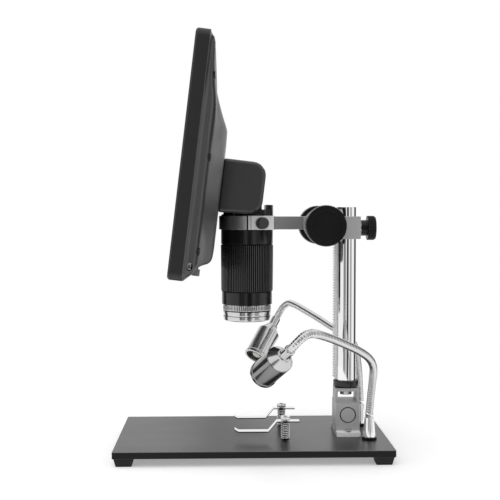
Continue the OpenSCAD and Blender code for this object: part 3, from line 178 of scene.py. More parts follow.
def addFloor():
    bm = bmesh.new()
    bmesh.ops.create_circle(bm, cap_ends=True, segments=96, radius=studio["floorRadius"])
    material = bpy.data.materials.new("studioFloor")
    material.use_nodes = True
    tree = material.node_tree
    tree.nodes.clear()
    matt = addNode(tree, "ShaderNodeBsdfDiffuse", {"Color": grey(studio["floorColour"])})
    rays = addNode(tree, "ShaderNodeLightPath").outputs
    seen = calculate(tree, "MAXIMUM", rays["Is Camera Ray"], rays["Is Glossy Ray"])
    strength = calculate(tree, "MULTIPLY", seen, studio["floorGlow"])
    glow = addNode(tree, "ShaderNodeEmission", {"Color": grey(1), "Strength": strength})
    both = addNode(tree, "ShaderNodeAddShader", {0: matt.outputs[0], 1: glow.outputs[0]})
    addNode(tree, "ShaderNodeOutputMaterial", {"Surface": both.outputs[0]})
    floor = newObject(bm, "studioFloor", [material])


addCamera()
addWorld()
addTopLight()
addFloor()
print("camera, light and floor ready")

# surface effects that several finishes share; detail is how many octaves each noise has, and a limit gives the
# values that count as none and as all

detail = {"grain": 3.0, "patches": 4.0, "chips": 4.0, "streaks": 6.0, "smears": 5.0}
limits = {"edge": (0.995, 0.80), "chips": (0.35, 0.65), "smears": (0.35, 0.7)}


def effectGroup(name, inputs, outputs):
    group = bpy.data.node_groups.new(name, "ShaderNodeTree")
    for label, value in inputs:
        kind = "NodeSocketVector" if isinstance(value, tuple) else "NodeSocketFloat"
        socket = group.interface.new_socket(label, in_out="INPUT", socket_type=kind)
        socket.default_value = value
    for label in outputs:
        group.interface.new_socket(label, in_out="OUTPUT", socket_type="NodeSocketFloat")
    return group, group.nodes.new("NodeGroupInput").outputs, group.nodes.new("NodeGroupOutput").inputs


def addNoise(tree, kind, scale, place=None, **values):
    if place is None:
        place = addNode(tree, "ShaderNodeTexCoord").outputs["Object"]
    values.update({"Vector": place, "Scale": scale, "Detail": detail[kind]})
    return addNode(tree, "ShaderNodeTexNoise", values).outputs["Fac"]


def makeGrain():  # the fine skin of moulded plastic and powder paint
    group, put, get = effectGroup("moulded grain", [("Scale", 1200.0), ("Patch", 60.0)], ["Height", "Patches"])
    group.links.new(addNoise(group, "grain", put["Scale"], Roughness=0.6), get["Height"])
    group.links.new(addNoise(group, "patches", put["Patch"], Roughness=0.55), get["Patches"])
    return group


def makeEdge():  # where hands and tools have rounded and brightened the edges
    group, put, get = effectGroup("edge wear", [("Width", 0.0004), ("Chip", 900.0)], ["Mask"])
    soft = addNode(group, "ShaderNodeBevel", {"Radius": put["Width"]}, samples=4)
    flat = addNode(group, "ShaderNodeNewGeometry").outputs["Normal"]
    match = addNode(group, "ShaderNodeVectorMath", {0: soft.outputs[0], 1: flat}, operation="DOT_PRODUCT")
    edge = mapped(group, match.outputs["Value"], *limits["edge"])
    worn = mapped(group, addNoise(group, "chips", put["Chip"]), *limits["chips"])
    group.links.new(calculate(group, "MULTIPLY", edge, worn), get["Mask"])
    return group


def makeBrushing():  # fine lines left by a belt or a lathe, drawn out along one axis
    group, put, get = effectGroup("brushing", [("Stretch", (1.0, 60.0, 60.0)), ("Scale", 40.0)], ["Streaks"])
    place = addNode(group, "ShaderNodeTexCoord").outputs["Object"]
    drawn = addNode(group, "ShaderNodeVectorMath", {0: place, 1: put["Stretch"]}, operation="MULTIPLY")
    streaks = addNoise(group, "streaks", put["Scale"], drawn.outputs[0], Roughness=0.7)
    group.links.new(streaks, get["Streaks"])
    return group


def makeHandling():  # faint smears and dust that only change the gloss
    group, put, get = effectGroup("handling", [("Scale", 18.0)], ["Smears"])
    smear = addNoise(group, "smears", put["Scale"], Distortion=1.2)
    group.links.new(mapped(group, smear, *limits["smears"]), get["Smears"])
    return group


effects = {"grain": makeGrain(), "edge": makeEdge(), "brushing": makeBrushing(), "handling": makeHandling()}


def useEffect(tree, name, **values):
    made = tree.nodes.new("ShaderNodeGroup")
    made.node_tree = effects[name]
    for label, value in values.items():
        made.inputs[label].default_value = value
    return made.outputs


def newMaterial(name):
    material = bpy.data.materials.new(name)
    material.use_nodes = True
    tree = material.node_tree
    return material, tree, tree.nodes["Principled BSDF"]


def span(tree, value, low, high):
    return addNode(tree, "ShaderNodeMapRange", {"Value": value, "To Min": low, "To Max": high}).outputs[0]


def roughen(tree, skin, height, strength, distance):
    bump = addNode(tree, "ShaderNodeBump", {"Height": height, "Strength": strength, "Distance": distance})
    tree.links.new(bump.outputs[0], skin.inputs["Normal"])


def scaled(colour, gain):
    return tuple(level * gain for level in colour[:3]) + (1,)


def brightened(colour, gain, lift):
    return tuple(min(1, level * gain + lift) for level in colour[:3]) + (1,)


# finishes, each made from the effects above; a brightness is a gain, or a gain and a lift

plasticLook = {"patches": 35.0, "edge": 0.0005, "smears": 22.0, "worn": (2.2, 0.02), "patchLight": 1.25,
               "relief": 0.35}
brushedLook = {"smears": 30.0, "streakDark": 0.86, "glossSpan": (-0.03, 0.05), "relief": 0.25}
polishedLook = {"grain": 900.0, "patches": 45.0, "smears": 26.0, "patchDark": 0.93, "glossSpan": 0.05,
                "relief": 0.05, "depth": 0.00001}
blastedLook = {"grain": 2600.0, "patches": 80.0, "edge": 0.0003, "worn": (1.6, 0.05),
               "glossSpan": (-0.06, 0.08), "relief": 0.5, "depth": 0.00005}
glassLook = {"smears": 40.0, "bending": 1.5, "glossSpan": 0.02}


def mouldedPlastic(name, colour, gloss, grainScale=1500.0, depth=0.00004, wear=0.35, shine=0.5, uneven=0.05):
    material, tree, skin = newMaterial(name)
    skin.inputs["Specular IOR Level"].default_value = shine
    grain = useEffect(tree, "grain", Scale=grainScale, Patch=plasticLook["patches"])
    edge = useEffect(tree, "edge", Width=plasticLook["edge"])
    smears = useEffect(tree, "handling", Scale=plasticLook["smears"])
    tone = blendColours(tree, grain["Patches"], colour, scaled(colour, plasticLook["patchLight"]))
    share = calculate(tree, "MULTIPLY", edge["Mask"], wear)
    worn = blendColours(tree, share, tone, brightened(colour, *plasticLook["worn"]))
    tree.links.new(worn, skin.inputs["Base Color"])
    tree.links.new(span(tree, smears["Smears"], gloss - uneven, gloss + uneven), skin.inputs["Roughness"])
    roughen(tree, skin, grain["Height"], plasticLook["relief"], depth)
    return material


def brushedMetal(name, colour, gloss, stretch, scale=40.0, metallic=1.0, depth=0.00003):
    material, tree, skin = newMaterial(name)
    lines = useEffect(tree, "brushing", Stretch=stretch, Scale=scale)
    smears = useEffect(tree, "handling", Scale=brushedLook["smears"])
    low, high = brushedLook["glossSpan"]
    tone = blendColours(tree, lines["Streaks"], scaled(colour, brushedLook["streakDark"]), colour)
    tree.links.new(tone, skin.inputs["Base Color"])
    tree.links.new(span(tree, smears["Smears"], gloss + low, gloss + high), skin.inputs["Roughness"])
    skin.inputs["Metallic"].default_value = metallic
    roughen(tree, skin, lines["Streaks"], brushedLook["relief"], depth)
    return material


def polishedMetal(name, colour, gloss, metallic=1.0):
    material, tree, skin = newMaterial(name)
    grain = useEffect(tree, "grain", Scale=polishedLook["grain"], Patch=polishedLook["patches"])
    smears = useEffect(tree, "handling", Scale=polishedLook["smears"])
    tone = blendColours(tree, grain["Patches"], scaled(colour, polishedLook["patchDark"]), colour)
    dullest = gloss + polishedLook["glossSpan"]
    tree.links.new(tone, skin.inputs["Base Color"])
    tree.links.new(span(tree, smears["Smears"], gloss, dullest), skin.inputs["Roughness"])
    skin.inputs["Metallic"].default_value = metallic
    roughen(tree, skin, grain["Height"], polishedLook["relief"], polishedLook["depth"])
    return material


def blastedMetal(name, colour, gloss, metallic=0.9):
    material, tree, skin = newMaterial(name)
    grain = useEffect(tree, "grain", Scale=blastedLook["grain"], Patch=blastedLook["patches"])
    edge = useEffect(tree, "edge", Width=blastedLook["edge"])
    low, high = blastedLook["glossSpan"]
    tone = blendColours(tree, edge["Mask"], colour, brightened(colour, *blastedLook["worn"]))
    tree.links.new(tone, skin.inputs["Base Color"])
    tree.links.new(span(tree, grain["Patches"], gloss + low, gloss + high), skin.inputs["Roughness"])
    skin.inputs["Metallic"].default_value = metallic
    roughen(tree, skin, grain["Height"], blastedLook["relief"], blastedLook["depth"])
    return material


def clearGlass(name, colour, gloss):
    material, tree, skin = newMaterial(name)
    smears = useEffect(tree, "handling", Scale=glassLook["smears"])
    skin.inputs["Base Color"].default_value = colour
    skin.inputs["Transmission Weight"].default_value = 1
    skin.inputs["IOR"].default_value = glassLook["bending"]
    dullest = gloss + glassLook["glossSpan"]
    tree.links.new(span(tree, smears["Smears"], gloss, dullest), skin.inputs["Roughness"])
    return material


finishes = {
    "stagePaint": mouldedPlastic("stage powder paint", grey(0.012), 0.3, 1300.0, 0.000003, uneven=0.015),
    # the plate's sides: a darker, duller copy of its paint, painted shade
    "stageEdge": mouldedPlastic("stage plate side painted shade", grey(0.008), 0.45, 2200.0, 0.00002, shine=0.2),
    # the plate's top edge line: a lighter colour painted as the edge's highlight
    "wornPaint": mouldedPlastic("stage plate painted edge highlight", grey(0.13), 0.35, 2200.0, 0.00002),
    "footRubber": mouldedPlastic("foot rubber", grey(0.008), 0.75, 900.0, 0.00008, 0.1),
    "zincSteel": polishedMetal("zinc plated steel", grey(0.55), 0.28),
    "blackSteel": polishedMetal("blackened steel", grey(0.03), 0.35),
    "cutSteel": polishedMetal("cut edge of the clip steel", grey(0.05), 0.3),
    # darker, duller chrome for the gooseneck grooves: painted shade
    "coilGroovePaintedShade": polishedMetal("coil groove painted shade", grey(0.72), 0.12),
    "greyCasting": blastedMetal("blasted grey aluminium", grey(0.5), 0.45, 0.3),
    # white, non-metal colour on the bracket's flange and the arm's clamp boss: a painted bright reflection
    "paleAluminium": polishedMetal("machined aluminium painted reflection", grey(1.0), 0.2, 0.0),
    # near-black and dull: painted shade inside the clamp's slit and the plug's groove
    "grooveBlack": mouldedPlastic("casting groove painted shade", grey(0.004), 0.6, 900.0, 0.00002, 0.0, 0.2),
    "armAluminium": brushedMetal("brushed arm aluminium", grey(0.5), 0.36, (1.0, 40.0, 40.0)),
    "columnChrome": polishedMetal("column chrome", grey(0.88), 0.04),
    # the rack: near-white and non-metal, so its colour paints the bright reflection of steel
    "rackSteel": brushedMetal("rack steel painted reflection", grey(0.97), 0.3, (1.0, 1.0, 30.0), metallic=0.0),
    "knobPlastic": mouldedPlastic("knob plastic", grey(0.004), 0.34, 1800.0, 0.00003, shine=0.32),
    "screwCap": mouldedPlastic("clamp screw cap", grey(0.035), 0.4, 1800.0, 0.00003),
    "barrelEnamel": mouldedPlastic("barrel black enamel", grey(0.003), 0.24, 1200.0, 0.00001, 0.15),
    "gripLand": mouldedPlastic("ribbed grip", grey(0.005), 0.26, 1500.0, 0.00001, 0.2, 1.0),
    # near-black, dull grip grooves: painted shade between the ribs
    "gripGroovePaintedShade": mouldedPlastic("grip groove painted shade", grey(0.001), 0.6, 1500.0, 0.00002, 0.0, 0.05),
    "housingPlastic": mouldedPlastic("display housing plastic", grey(0.012), 0.42, 1700.0, 0.00003),
    "coverPlastic": mouldedPlastic("display cover plastic", grey(0.019), 0.36, 1700.0, 0.00003, shine=1.0),
    # a lighter line beside the cover's seam: painted highlight
    "seamPaintedHighlight": mouldedPlastic("cover seam painted highlight", grey(0.06), 0.4, 1700.0, 0.00003, shine=1.0),
    "neckPlastic": mouldedPlastic("neck plastic", grey(0.029), 0.34, 1700.0, 0.00003, shine=0.8),
    "collarGloss": mouldedPlastic("collar gloss black", grey(0.003), 0.13, 900.0, 0.00001, 0.1, 0.5),
    "dimmerGrey": mouldedPlastic("dimmer grey", grey(0.17), 0.4, 900.0, 0.00004),
    "brassGear": brushedMetal("pinion brass", (0.62, 0.45, 0.18, 1), 0.3, (30.0, 1.0, 30.0)),
    "lampSteel": polishedMetal("lamp cone chrome", grey(0.62), 0.14),
    # the near lamp's body: the same chrome painted darker, standing in for the dark reflection it shows
    "lampBody": polishedMetal("lamp body chrome painted dark reflection", grey(0.27), 0.14),
    "socketBlack": mouldedPlastic("lamp inner black", grey(0.03), 0.35, 900.0, 0.00002),
    "hoodChrome": polishedMetal("light hood chrome", grey(0.68), 0.13),
    # darker chrome in the hood's knurl grooves: painted shade
    "hoodKnurlPaintedShade": polishedMetal("light hood knurl painted shade", grey(0.12), 0.3),
    "hoodShadow": polishedMetal("light hood groove", grey(0.02), 0.4),
    "lensGlass": clearGlass("lens glass", (0.9, 0.95, 1, 1), 0.02),
    "screenGlass": mouldedPlastic("display glass", grey(0.003), 0.08, 400.0, 0.000002, 0.0, 0.2),
    "panelFrame": blastedMetal("panel frame", grey(0.3), 0.45),
    "boardGreen": mouldedPlastic("circuit board", (0.01, 0.09, 0.04, 1), 0.4, 900.0, 0.00003),
    "ledPlastic": mouldedPlastic("lamp lens", (0.82, 0.80, 0.70, 1), 0.2, 700.0, 0.00002, 0.0),
}
print("finishes ready:", len(finishes))

bodyOf = {node: body for body, members in frame["record"]["behaviour"]["bodies"].items() for node in members}
jointOf = {joint["name"]: joint for joint in frame["joints"]}


def holdNormals(piece):
    weighted = piece.modifiers.new("weighted", "WEIGHTED_NORMAL")
    weighted.keep_sharp = True


def keepPiece(bm, name, coats, stands, place=None):  # coats are finishes, in the order of the faces' numbers
    if place is not None:
        bmesh.ops.transform(bm, matrix=place, verts=bm.verts)
    piece = newObject(bm, name, [finishes[coat] for coat in coats])
    piece.data.shade_smooth()
    holdNormals(piece)
    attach(piece, bodyOf[stands[0]])
    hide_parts(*stands)
    return piece


def camelCase(name):
    first, *rest = name.split("_")
    return first + "".join(word.capitalize() for word in rest)


def softCopy(node, finish, width, accents=(), angle=32):
    # the solid itself, with its sharp edges rounded; each accent is a finish and a test of a face's place in
    # millimetres, its way and the face itself
    bm = bmesh.new()
    bm.from_mesh(nodes[node].data)
    bmesh.ops.remove_doubles(bm, verts=bm.verts, dist=1e-6)
    bmesh.ops.dissolve_limit(bm, angle_limit=radians(0.5), verts=bm.verts, edges=bm.edges)
    sharp = [edge for edge in bm.edges if edge.is_manifold and edge.calc_face_angle(0) > radians(angle)]
    bmesh.ops.bevel(bm, geom=sharp, offset=width * mm, affect="EDGES", segments=2, profile=0.5, material=-1)
    bm.normal_update()
    for index, (accent, wanted) in enumerate(accents, 1):
        for face in bm.faces:
            if wanted(face.calc_center_median() / mm, face.normal, face):
                face.material_index = index
    return keepPiece(bm, camelCase(node), [finish] + [accent for accent, wanted in accents], [node])


def cutAway(piece, cutters, angle=38):
    # takes the cutters' shapes out of a piece for good, after its modifiers so far
    tools = [newObject(cutter, "cutter") for cutter in cutters]
    for tool in tools:
        taken = piece.modifiers.new("cut", "BOOLEAN")
        taken.operation, taken.solver, taken.object = "DIFFERENCE", "EXACT", tool
    shaped = piece.evaluated_get(bpy.context.evaluated_depsgraph_get())
    mesh = bpy.data.meshes.new_from_object(shaped)
    piece.modifiers.clear()
    piece.data = mesh
    for tool in tools:
        bpy.data.meshes.remove(tool.data)
    mesh.set_sharp_from_angle(angle=radians(angle))
    holdNormals(piece)


def aimed(place, way):  # from a piece made along Z to its place and direction
    return Matrix.Translation(place) @ Vector(way).to_track_quat("Z", "Y").to_matrix().to_4x4()


def roundCutter(place, way, radius, length, squeeze=(1, 1)):
    # a bar for cutting with its middle at place, in millimetres
    bm = bmesh.new()
    bmesh.ops.create_cone(bm, cap_ends=True, segments=28, radius1=radius * mm, radius2=radius * mm,
                          depth=length * mm)
    bmesh.ops.scale(bm, vec=(squeeze[0], squeeze[1], 1), verts=bm.verts)
    bmesh.ops.transform(bm, matrix=aimed(Vector(place) * mm, way), verts=bm.verts)
    return bm


def growLoop(bm, loop, move):  # extrudes a loop of edges, moves its new vertices and gives back the new loop
    made = bmesh.ops.extrude_edge_only(bm, edges=loop)["geom"]
    fresh = {item for item in made if isinstance(item, bmesh.types.BMVert)}
    for vert in fresh:
        vert.co = move(vert.co)
    return [item for item in made if isinstance(item, bmesh.types.BMEdge) and set(item.verts) <= fresh]


def closeLoop(bm, loop):
    bmesh.ops.contextual_create(bm, geom=loop)


def lathe(profile, steps):  # spins a wire of (radius, height) points, in millimetres, about Z
    bm = bmesh.new()
    line = [bm.verts.new((radius * mm, 0, height * mm)) for radius, height in profile]
    for pair in zip(line, line[1:]):
        bm.edges.new(pair)
    bmesh.ops.spin(bm, geom=bm.verts[:] + bm.edges[:], cent=(0, 0, 0), axis=(0, 0, 1), angle=2 * pi,
                   steps=steps, use_merge=True)
    bmesh.ops.remove_doubles(bm, verts=bm.verts, dist=1e-7)
    bmesh.ops.recalc_face_normals(bm, faces=bm.faces)
    return bm


def ribbedStack(levels, ribs, depth, spread=(0.0, 0.5, 0.58, 0.92)):
    # a turned piece with ribs along it: each level is (radius, height, how much of the rib shows), and spread
    # gives the two corners of a rib and the two of its groove as shares of the pitch; the grooves take the second
    # finish, a darker one that paints their shade
    bm = bmesh.new()
    across = len(spread)
    count = ribs * across
    bmesh.ops.create_circle(bm, segments=count, radius=mm)

    def turnOf(point):
        return -point.to_2d().angle_signed(Vector((1, 0))) / (2 * pi) % 1.0

    def placed(point, level):
        radius, height, share = level
        step = round(turnOf(point) * count) % across
        valley = depth * share if step >= across / 2 else 0
        flat = point.to_2d().normalized() * (radius - valley) * mm
        return Vector((flat.x, flat.y, height * mm))

    first = loop = list(bm.edges)
    for vert in bm.verts:
        vert.co = placed(vert.co, levels[0])
    for below, level in zip(levels, levels[1:]):
        known = set(bm.faces)
        loop = growLoop(bm, loop, lambda point: placed(point, level))
        if below[2] and level[2]:
            for face in set(bm.faces) - known:
                face.material_index = min(1, int(turnOf(face.calc_center_median()) * count) % across)
    for vert in bm.verts:
        rib, step = divmod(round(turnOf(vert.co) * count), across)
        way = (rib + spread[step]) / ribs * 2 * pi
        reach = vert.co.to_2d().length
        vert.co = Vector((reach * cos(way), reach * sin(way), vert.co.z))
    bmesh.ops.bridge_loops(bm, edges=first + loop)
    bmesh.ops.recalc_face_normals(bm, faces=bm.faces)
    return bm


# the display's housing, in its own upright frame and in millimetres

display = {"lean": 6.85, "hingeDepth": 48.7, "hingeHeight": 58.0, "halfWidth": 125.0, "height": 160.6,
           "corner": 6.0, "cornerSteps": 6, "sideCuts": 47, "seam": 9.5, "seamLine": 0.5, "wall": 2.0}
# how far back the flat part of the cover reaches: height and depth
coverBack = [(0, 18.5), (116, 18.5), (121, 17.9), (130, 15.2), (142, 14.3), (152, 13.5), (156.5, 12.7),
             (160.6, 9.6)]
# each ring of the cover: share of the way to the back, distance in from the side, the bottom and the top
coverSlab = [(0.0, 0.0, 0.0, 0.0), (0.06, 0.7, 0.1, 0.35), (0.14, 1.5, 0.55, 0.6), (0.24, 2.3, 1.4, 0.9),
             (0.34, 2.9, 2.25, 1.25), (0.44, 3.2, 3.05, 1.7), (0.56, 3.4, 4.05, 2.3), (0.66, 3.7, 4.9, 2.9),
             (0.76, 4.4, 5.7, 3.6), (0.86, 5.6, 6.7, 4.8), (0.94, 7.0, 7.6, 6.6), (1.0, 8.8, 8.8, 10.5)]
# each ring of the flat back: half width, lower and upper height, and how much further back its sides stand
coverLand = [(115.6, 9.0, 144.0, 0.17), (114.8, 9.2, 138.0, 0.4), (114.0, 9.4, 132.0, 0.62),
             (113.2, 9.6, 126.5, 0.85), (112.4, 9.8, 121.0, 1.07)]
landFade = {"full": 108.0, "gone": 118.0}  # the heights between which that extra depth fades
# each ring of the raised back: depth, half width, lower and upper height
coverHump = [(19.8, 111.6, 10.0, 117.0), (21.2, 106.4, 10.5, 113.6), (22.8, 100.4, 10.9, 110.0),
             (24.4, 94.4, 11.3, 106.7), (25.6, 89.9, 12.1, 104.4), (26.5, 86.0, 13.4, 102.5),
             (27.0, 82.6, 15.2, 101.0)]
# the cover's two upper shoulders, which are smoothed
shoulder = {"above": 92, "outside": 88, "behind": 13.5, "turns": 8, "softness": 0.5}
opening = {"screwSide": 117.5, "screwRows": (20.0, 80.3, 132.4, 154.0), "screwRadius": 2.75, "screwDepth": 21,
           "screwLength": 20, "jackDepth": 13.5, "jackHeight": 9.8, "jackHalves": (1.9, 2.6), "jackLength": 12,
           "wallSide": 121, "portRows": (30.0, 44.0, 58.0), "portSize": (3.2, 14.0, 9.0), "dimmerDepth": 17.3,
           "dimmerSide": -100.0, "dimmerHeight": 3, "dimmerRadius": 3.0, "dimmerLength": 16}
hinge = Vector(jointOf["display_tilt"]["pos_m"])
inDisplay = (Matrix.Translation(hinge) @ Matrix.Rotation(radians(display["lean"]), 4, "Y")
             @ Matrix.Translation((-display["hingeDepth"] * mm, 0, -display["hingeHeight"] * mm)))


def slabDepth(height):  # how far back the flat part of the cover reaches at this height
    for (low, start), (high, end) in zip(coverBack, coverBack[1:]):
        if height <= high:
            return start + (end - start) * max(0, height - low) / (high - low)
    return coverBack[-1][1]


def landShare(height):  # how much of the land's extra depth is there at this height
    return min(1, max(0, (landFade["gone"] - height) / (landFade["gone"] - landFade["full"])))


def coverOutline(bm):  # the loop round the seam, with round corners and even steps along its sides
    half, top, seam = display["halfWidth"] * mm, display["height"] * mm, display["seam"] * mm
    corners = [bm.verts.new((seam, side * half, high * top))
               for side, high in ((-1, 0), (1, 0), (1, 1), (-1, 1))]
    bm.faces.new(corners)
    bmesh.ops.bevel(bm, geom=corners, offset=display["corner"] * mm, affect="VERTICES",
                    segments=display["cornerSteps"], profile=0.5, material=-1)
    straight = [edge for edge in bm.edges if edge.calc_length() > 2 * display["corner"] * mm]
    bmesh.ops.subdivide_edges(bm, edges=straight, cuts=display["sideCuts"])
    bmesh.ops.delete(bm, geom=bm.faces[:], context="FACES_ONLY")
    return list(bm.edges)


def coverRings():  # each ring's half width, lower and upper height, and its depth at a height, all in metres
    half, top, seam = display["halfWidth"] * mm, display["height"] * mm, display["seam"] * mm
    for share, side, low, above in coverSlab:
        yield (half - side * mm, low * mm, top - above * mm,
               lambda height: seam + share * (slabDepth(height / mm) * mm - seam))
    for wide, low, high, extra in coverLand:
        yield (wide * mm, low * mm, high * mm,
               lambda height: (slabDepth(height / mm) + extra * landShare(height / mm)) * mm)
    for deep, wide, low, high in coverHump:
        yield wide * mm, low * mm, high * mm, lambda height: deep * mm


def refit(point, before, ring):  # moves a point of the ring before to its place on the next ring
    (wasHalf, wasLow, wasHigh), (half, low, high, depth) = before, ring
    height = low + (point.z - wasLow) * (high - low) / (wasHigh - wasLow)
    return Vector((depth(height), point.y * half / wasHalf, height))


def coverCutters():  # the bars and blocks that open the cover's wall
    cutters = [roundCutter((opening["screwDepth"], side * opening["screwSide"], height), (1, 0, 0),
                           opening["screwRadius"], opening["screwLength"])
               for side in (-1, 1) for height in opening["screwRows"]]
    jack = (opening["jackDepth"], -opening["wallSide"], opening["jackHeight"])
    cutters.append(roundCutter(jack, (0, 1, 0), 1, opening["jackLength"], opening["jackHalves"]))
    dimmer = (opening["dimmerDepth"], opening["dimmerSide"], opening["dimmerHeight"])
    cutters.append(roundCutter(dimmer, (0, 0, 1), opening["dimmerRadius"], opening["dimmerLength"]))
    for height in opening["portRows"]:
        port = Vector((opening["jackDepth"], opening["wallSide"], height)) * mm
        slot = bmesh.new()
        bmesh.ops.create_cube(slot, size=mm)
        bmesh.ops.scale(slot, vec=opening["portSize"], verts=slot.verts)
        bmesh.ops.translate(slot, vec=port, verts=slot.verts)
        cutters.append(slot)
    for cutter in cutters:
        bmesh.ops.transform(cutter, matrix=inDisplay, verts=cutter.verts)
    return cutters


def makeRearCover():
    bm = bmesh.new()
    loop = coverOutline(bm)
    before = display["halfWidth"] * mm, 0.0, display["height"] * mm
    for ring in coverRings():
        loop = growLoop(bm, loop, lambda point: refit(point, before, ring))
        before = ring[:3]
    closeLoop(bm, loop)
    bmesh.ops.remove_doubles(bm, verts=bm.verts, dist=1e-6)
    corner = [vert for vert in bm.verts if vert.co.z > shoulder["above"] * mm
              and abs(vert.co.y) > shoulder["outside"] * mm and vert.co.x > shoulder["behind"] * mm]
    for turn in range(shoulder["turns"]):
        bmesh.ops.smooth_vert(bm, verts=corner, factor=shoulder["softness"], use_axis_x=True, use_axis_y=True,
                              use_axis_z=True)
    bmesh.ops.recalc_face_normals(bm, faces=bm.faces)
    for face in bm.faces:  # the thin line beside the seam, a lighter colour painted as a highlight
        if face.calc_center_median().x < (display["seam"] + display["seamLine"]) * mm:
            face.material_index = 1
    cover = keepPiece(bm, "rearCover", ["coverPlastic", "seamPaintedHighlight"], ["rear_cover"], inDisplay)
    shell = cover.modifiers.new("shell", "SOLIDIFY")
    shell.thickness = display["wall"] * mm
    shell.offset = -1
    cutAway(cover, coverCutters())


makeRearCover()
print("rear cover made")

# the barrel's turned pieces; each ring of the hood is its distance in from the radius, its height and rib share

barrel = {"ribs": 80, "ribDepth": 0.6, "bore": 17.4, "rim": 0.4, "taper": 0.3, "chamfer": 0.3}
hood = {"bore": 16.15, "seat": 14.2, "seatDepth": 2.0, "chamfer": 0.2, "knurls": 80, "knurlDepth": 0.3,
        "rings": ((1.2, 0.0, 0), (0.55, 0.35, 0), (0.4, 0.8, 0), (0.1, 3.6, 0), (0.5, 3.75, 0), (0.4, 4.0, 0),
                  (0, 7.2, 0), (0.7, 7.3, 0), (0.7, 7.9, 0), (0, 8.0, 0), (0, 8.5, 0), (0, 8.6, 1),
                  (0, 11.2, 1), (0, 11.3, 0)),
        "shadows": ((3.55, 4.1), (7.2, 8.05)), "shadowDepth": 1.6}


def turnedPlace(node):  # the foot of a turned node's axis, with its radius and its height in millimetres
    low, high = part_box(node)
    middle = (low + high) / 2
    return Matrix.Translation((middle.x, middle.y, low.z)), (high.x - low.x) / 2 / mm, (high.z - low.z) / mm


def makeFocusRing():
    place, radius, tall = turnedPlace("focus_ring")
    bore, rim, taper, cut = barrel["bore"], barrel["rim"], barrel["taper"], barrel["chamfer"]
    plain = radius - barrel["ribDepth"]
    levels = [(bore, 0.0, 0), (plain - taper - cut, 0.0, 0), (plain - taper, cut, 0), (radius - taper, rim, 1),
              (radius, tall - rim, 1), (plain, tall - cut, 0), (plain - cut, tall, 0), (bore, tall, 0)]
    bm = ribbedStack(levels, barrel["ribs"], barrel["ribDepth"])
    keepPiece(bm, "focusRing", ["gripLand", "gripGroovePaintedShade"], ["focus_ring"], place)


def makeLightHood():
    place, radius, tall = turnedPlace("light_hood")
    bore, seat, floor, cut = hood["bore"], hood["seat"], tall - hood["seatDepth"], hood["chamfer"]
    levels = [(bore, 0.0, 0)] + [(radius - inset, height, share) for inset, height, share in hood["rings"]]
    levels += [(radius, tall - cut, 0), (radius - cut, tall, 0), (seat, tall, 0), (seat, floor, 0),
               (bore, floor, 0)]
    bm = ribbedStack(levels, hood["knurls"], hood["knurlDepth"])
    for face in bm.faces:
        at = face.calc_center_median() / mm
        outside = at.to_2d().length > radius - hood["shadowDepth"]
        if outside and any(low < at.z < high for low, high in hood["shadows"]):
            face.material_index = 2
    keepPiece(bm, "lightHood", ["hoodChrome", "hoodKnurlPaintedShade", "hoodShadow"], ["light_hood"], place)


makeFocusRing()
makeLightHood()
print("barrel made")

# the flexible lamp arms

gooseneck = {"radius": 3.0, "ribPitch": 1.7, "ribDepth": 0.26, "sides": 16, "stepsPerRib": 6, "grooveFrom": 0.7,
             "stiff": 3.0, "bendOver": 35}
# middle line of each arm from its pivot, in millimetres
nearRoute = [(0, 0, 0), (0.8, -1, 10.7), (1.6, -4, 23.7), (1.2, -10.3, 34.7), (-3, -19, 43), (-12, -31, 50.3),
             (-24, -45.5, 57.2), (-36, -60, 63.4), (-47, -73.5, 68), (-51.9, -78.9, 68.8), (-56, -82.1, 67.4),
             (-59.4, -83.4, 64.6), (-62.3, -82.5, 61.4), (-64.3, -80, 58.7)]
farRoute = [(0, 0, 0), (-0.3, 1, 11.7), (-1, 4.5, 26.7), (-2.8, 12, 41.2), (-8, 21, 48.4), (-18, 32, 53.7),
            (-29, 44, 60.2), (-39, 56, 65.7), (-46, 66, 69.1), (-51.5, 73, 70.4), (-56.4, 76.5, 66.7),
            (-59.5, 75.5, 62.1), (-62.3, 71, 58)]


def routePoint(route, place):  # a point on the smooth line through the route, at place counted in points
    last = len(route) - 1
    index = min(int(place), last - 1)
    t = place - index
    before, here, after, beyond = (Vector(route[min(max(index + k, 0), last)]) for k in (-1, 0, 1, 2))
    return 0.5 * (2 * here + (after - before) * t + (2 * before - 5 * here + 4 * after - beyond) * t * t
                  + (3 * here - before - 3 * after + beyond) * t ** 3)


def evenLine(route, spacing, steps=60):  # the same line with its points a fixed distance apart
    fine = [routePoint(route, i / steps) for i in range(steps * (len(route) - 1) + 1)]
    line, run = [fine[0]], 0.0
    for before, after in zip(fine, fine[1:]):
        run += (after - before).length
        if run >= spacing:
            line.append(after)
            run -= spacing
    if (fine[-1] - line[-1]).length > spacing / 2:
        line.append(fine[-1])
    line[-1] = fine[-1]
    return line


def sweep(line, radii, sides, groove=None):
    # a round bar along a line, one ring at each of its points; what is thinner than the groove takes the second
    # finish, which on the lamp arms is a darker chrome painted as the grooves' shade
    bm = bmesh.new()
    way = (line[1] - line[0]).normalized()
    bmesh.ops.create_circle(bm, segments=sides, radius=radii[0] * mm)
    bmesh.ops.transform(bm, matrix=aimed(line[0] * mm, way), verts=bm.verts)
    first = loop = list(bm.edges)
    for i in range(1, len(line)):
        ahead = (line[min(i + 1, len(line) - 1)] - line[i - 1]).normalized()
        turn = way.rotation_difference(ahead).to_matrix()
        grow = radii[i] / radii[i - 1]
        known = len(bm.faces)
        loop = growLoop(bm, loop, lambda point: turn @ (point - line[i - 1] * mm) * grow + line[i] * mm)
        way = ahead
        if groove and radii[i] + radii[i - 1] < 2 * groove:
            bm.faces.ensure_lookup_table()
            for face in bm.faces[known:]:
                face.material_index = 1
    closeLoop(bm, first)
    closeLoop(bm, loop)
    bmesh.ops.recalc_face_normals(bm, faces=bm.faces)
    return bm


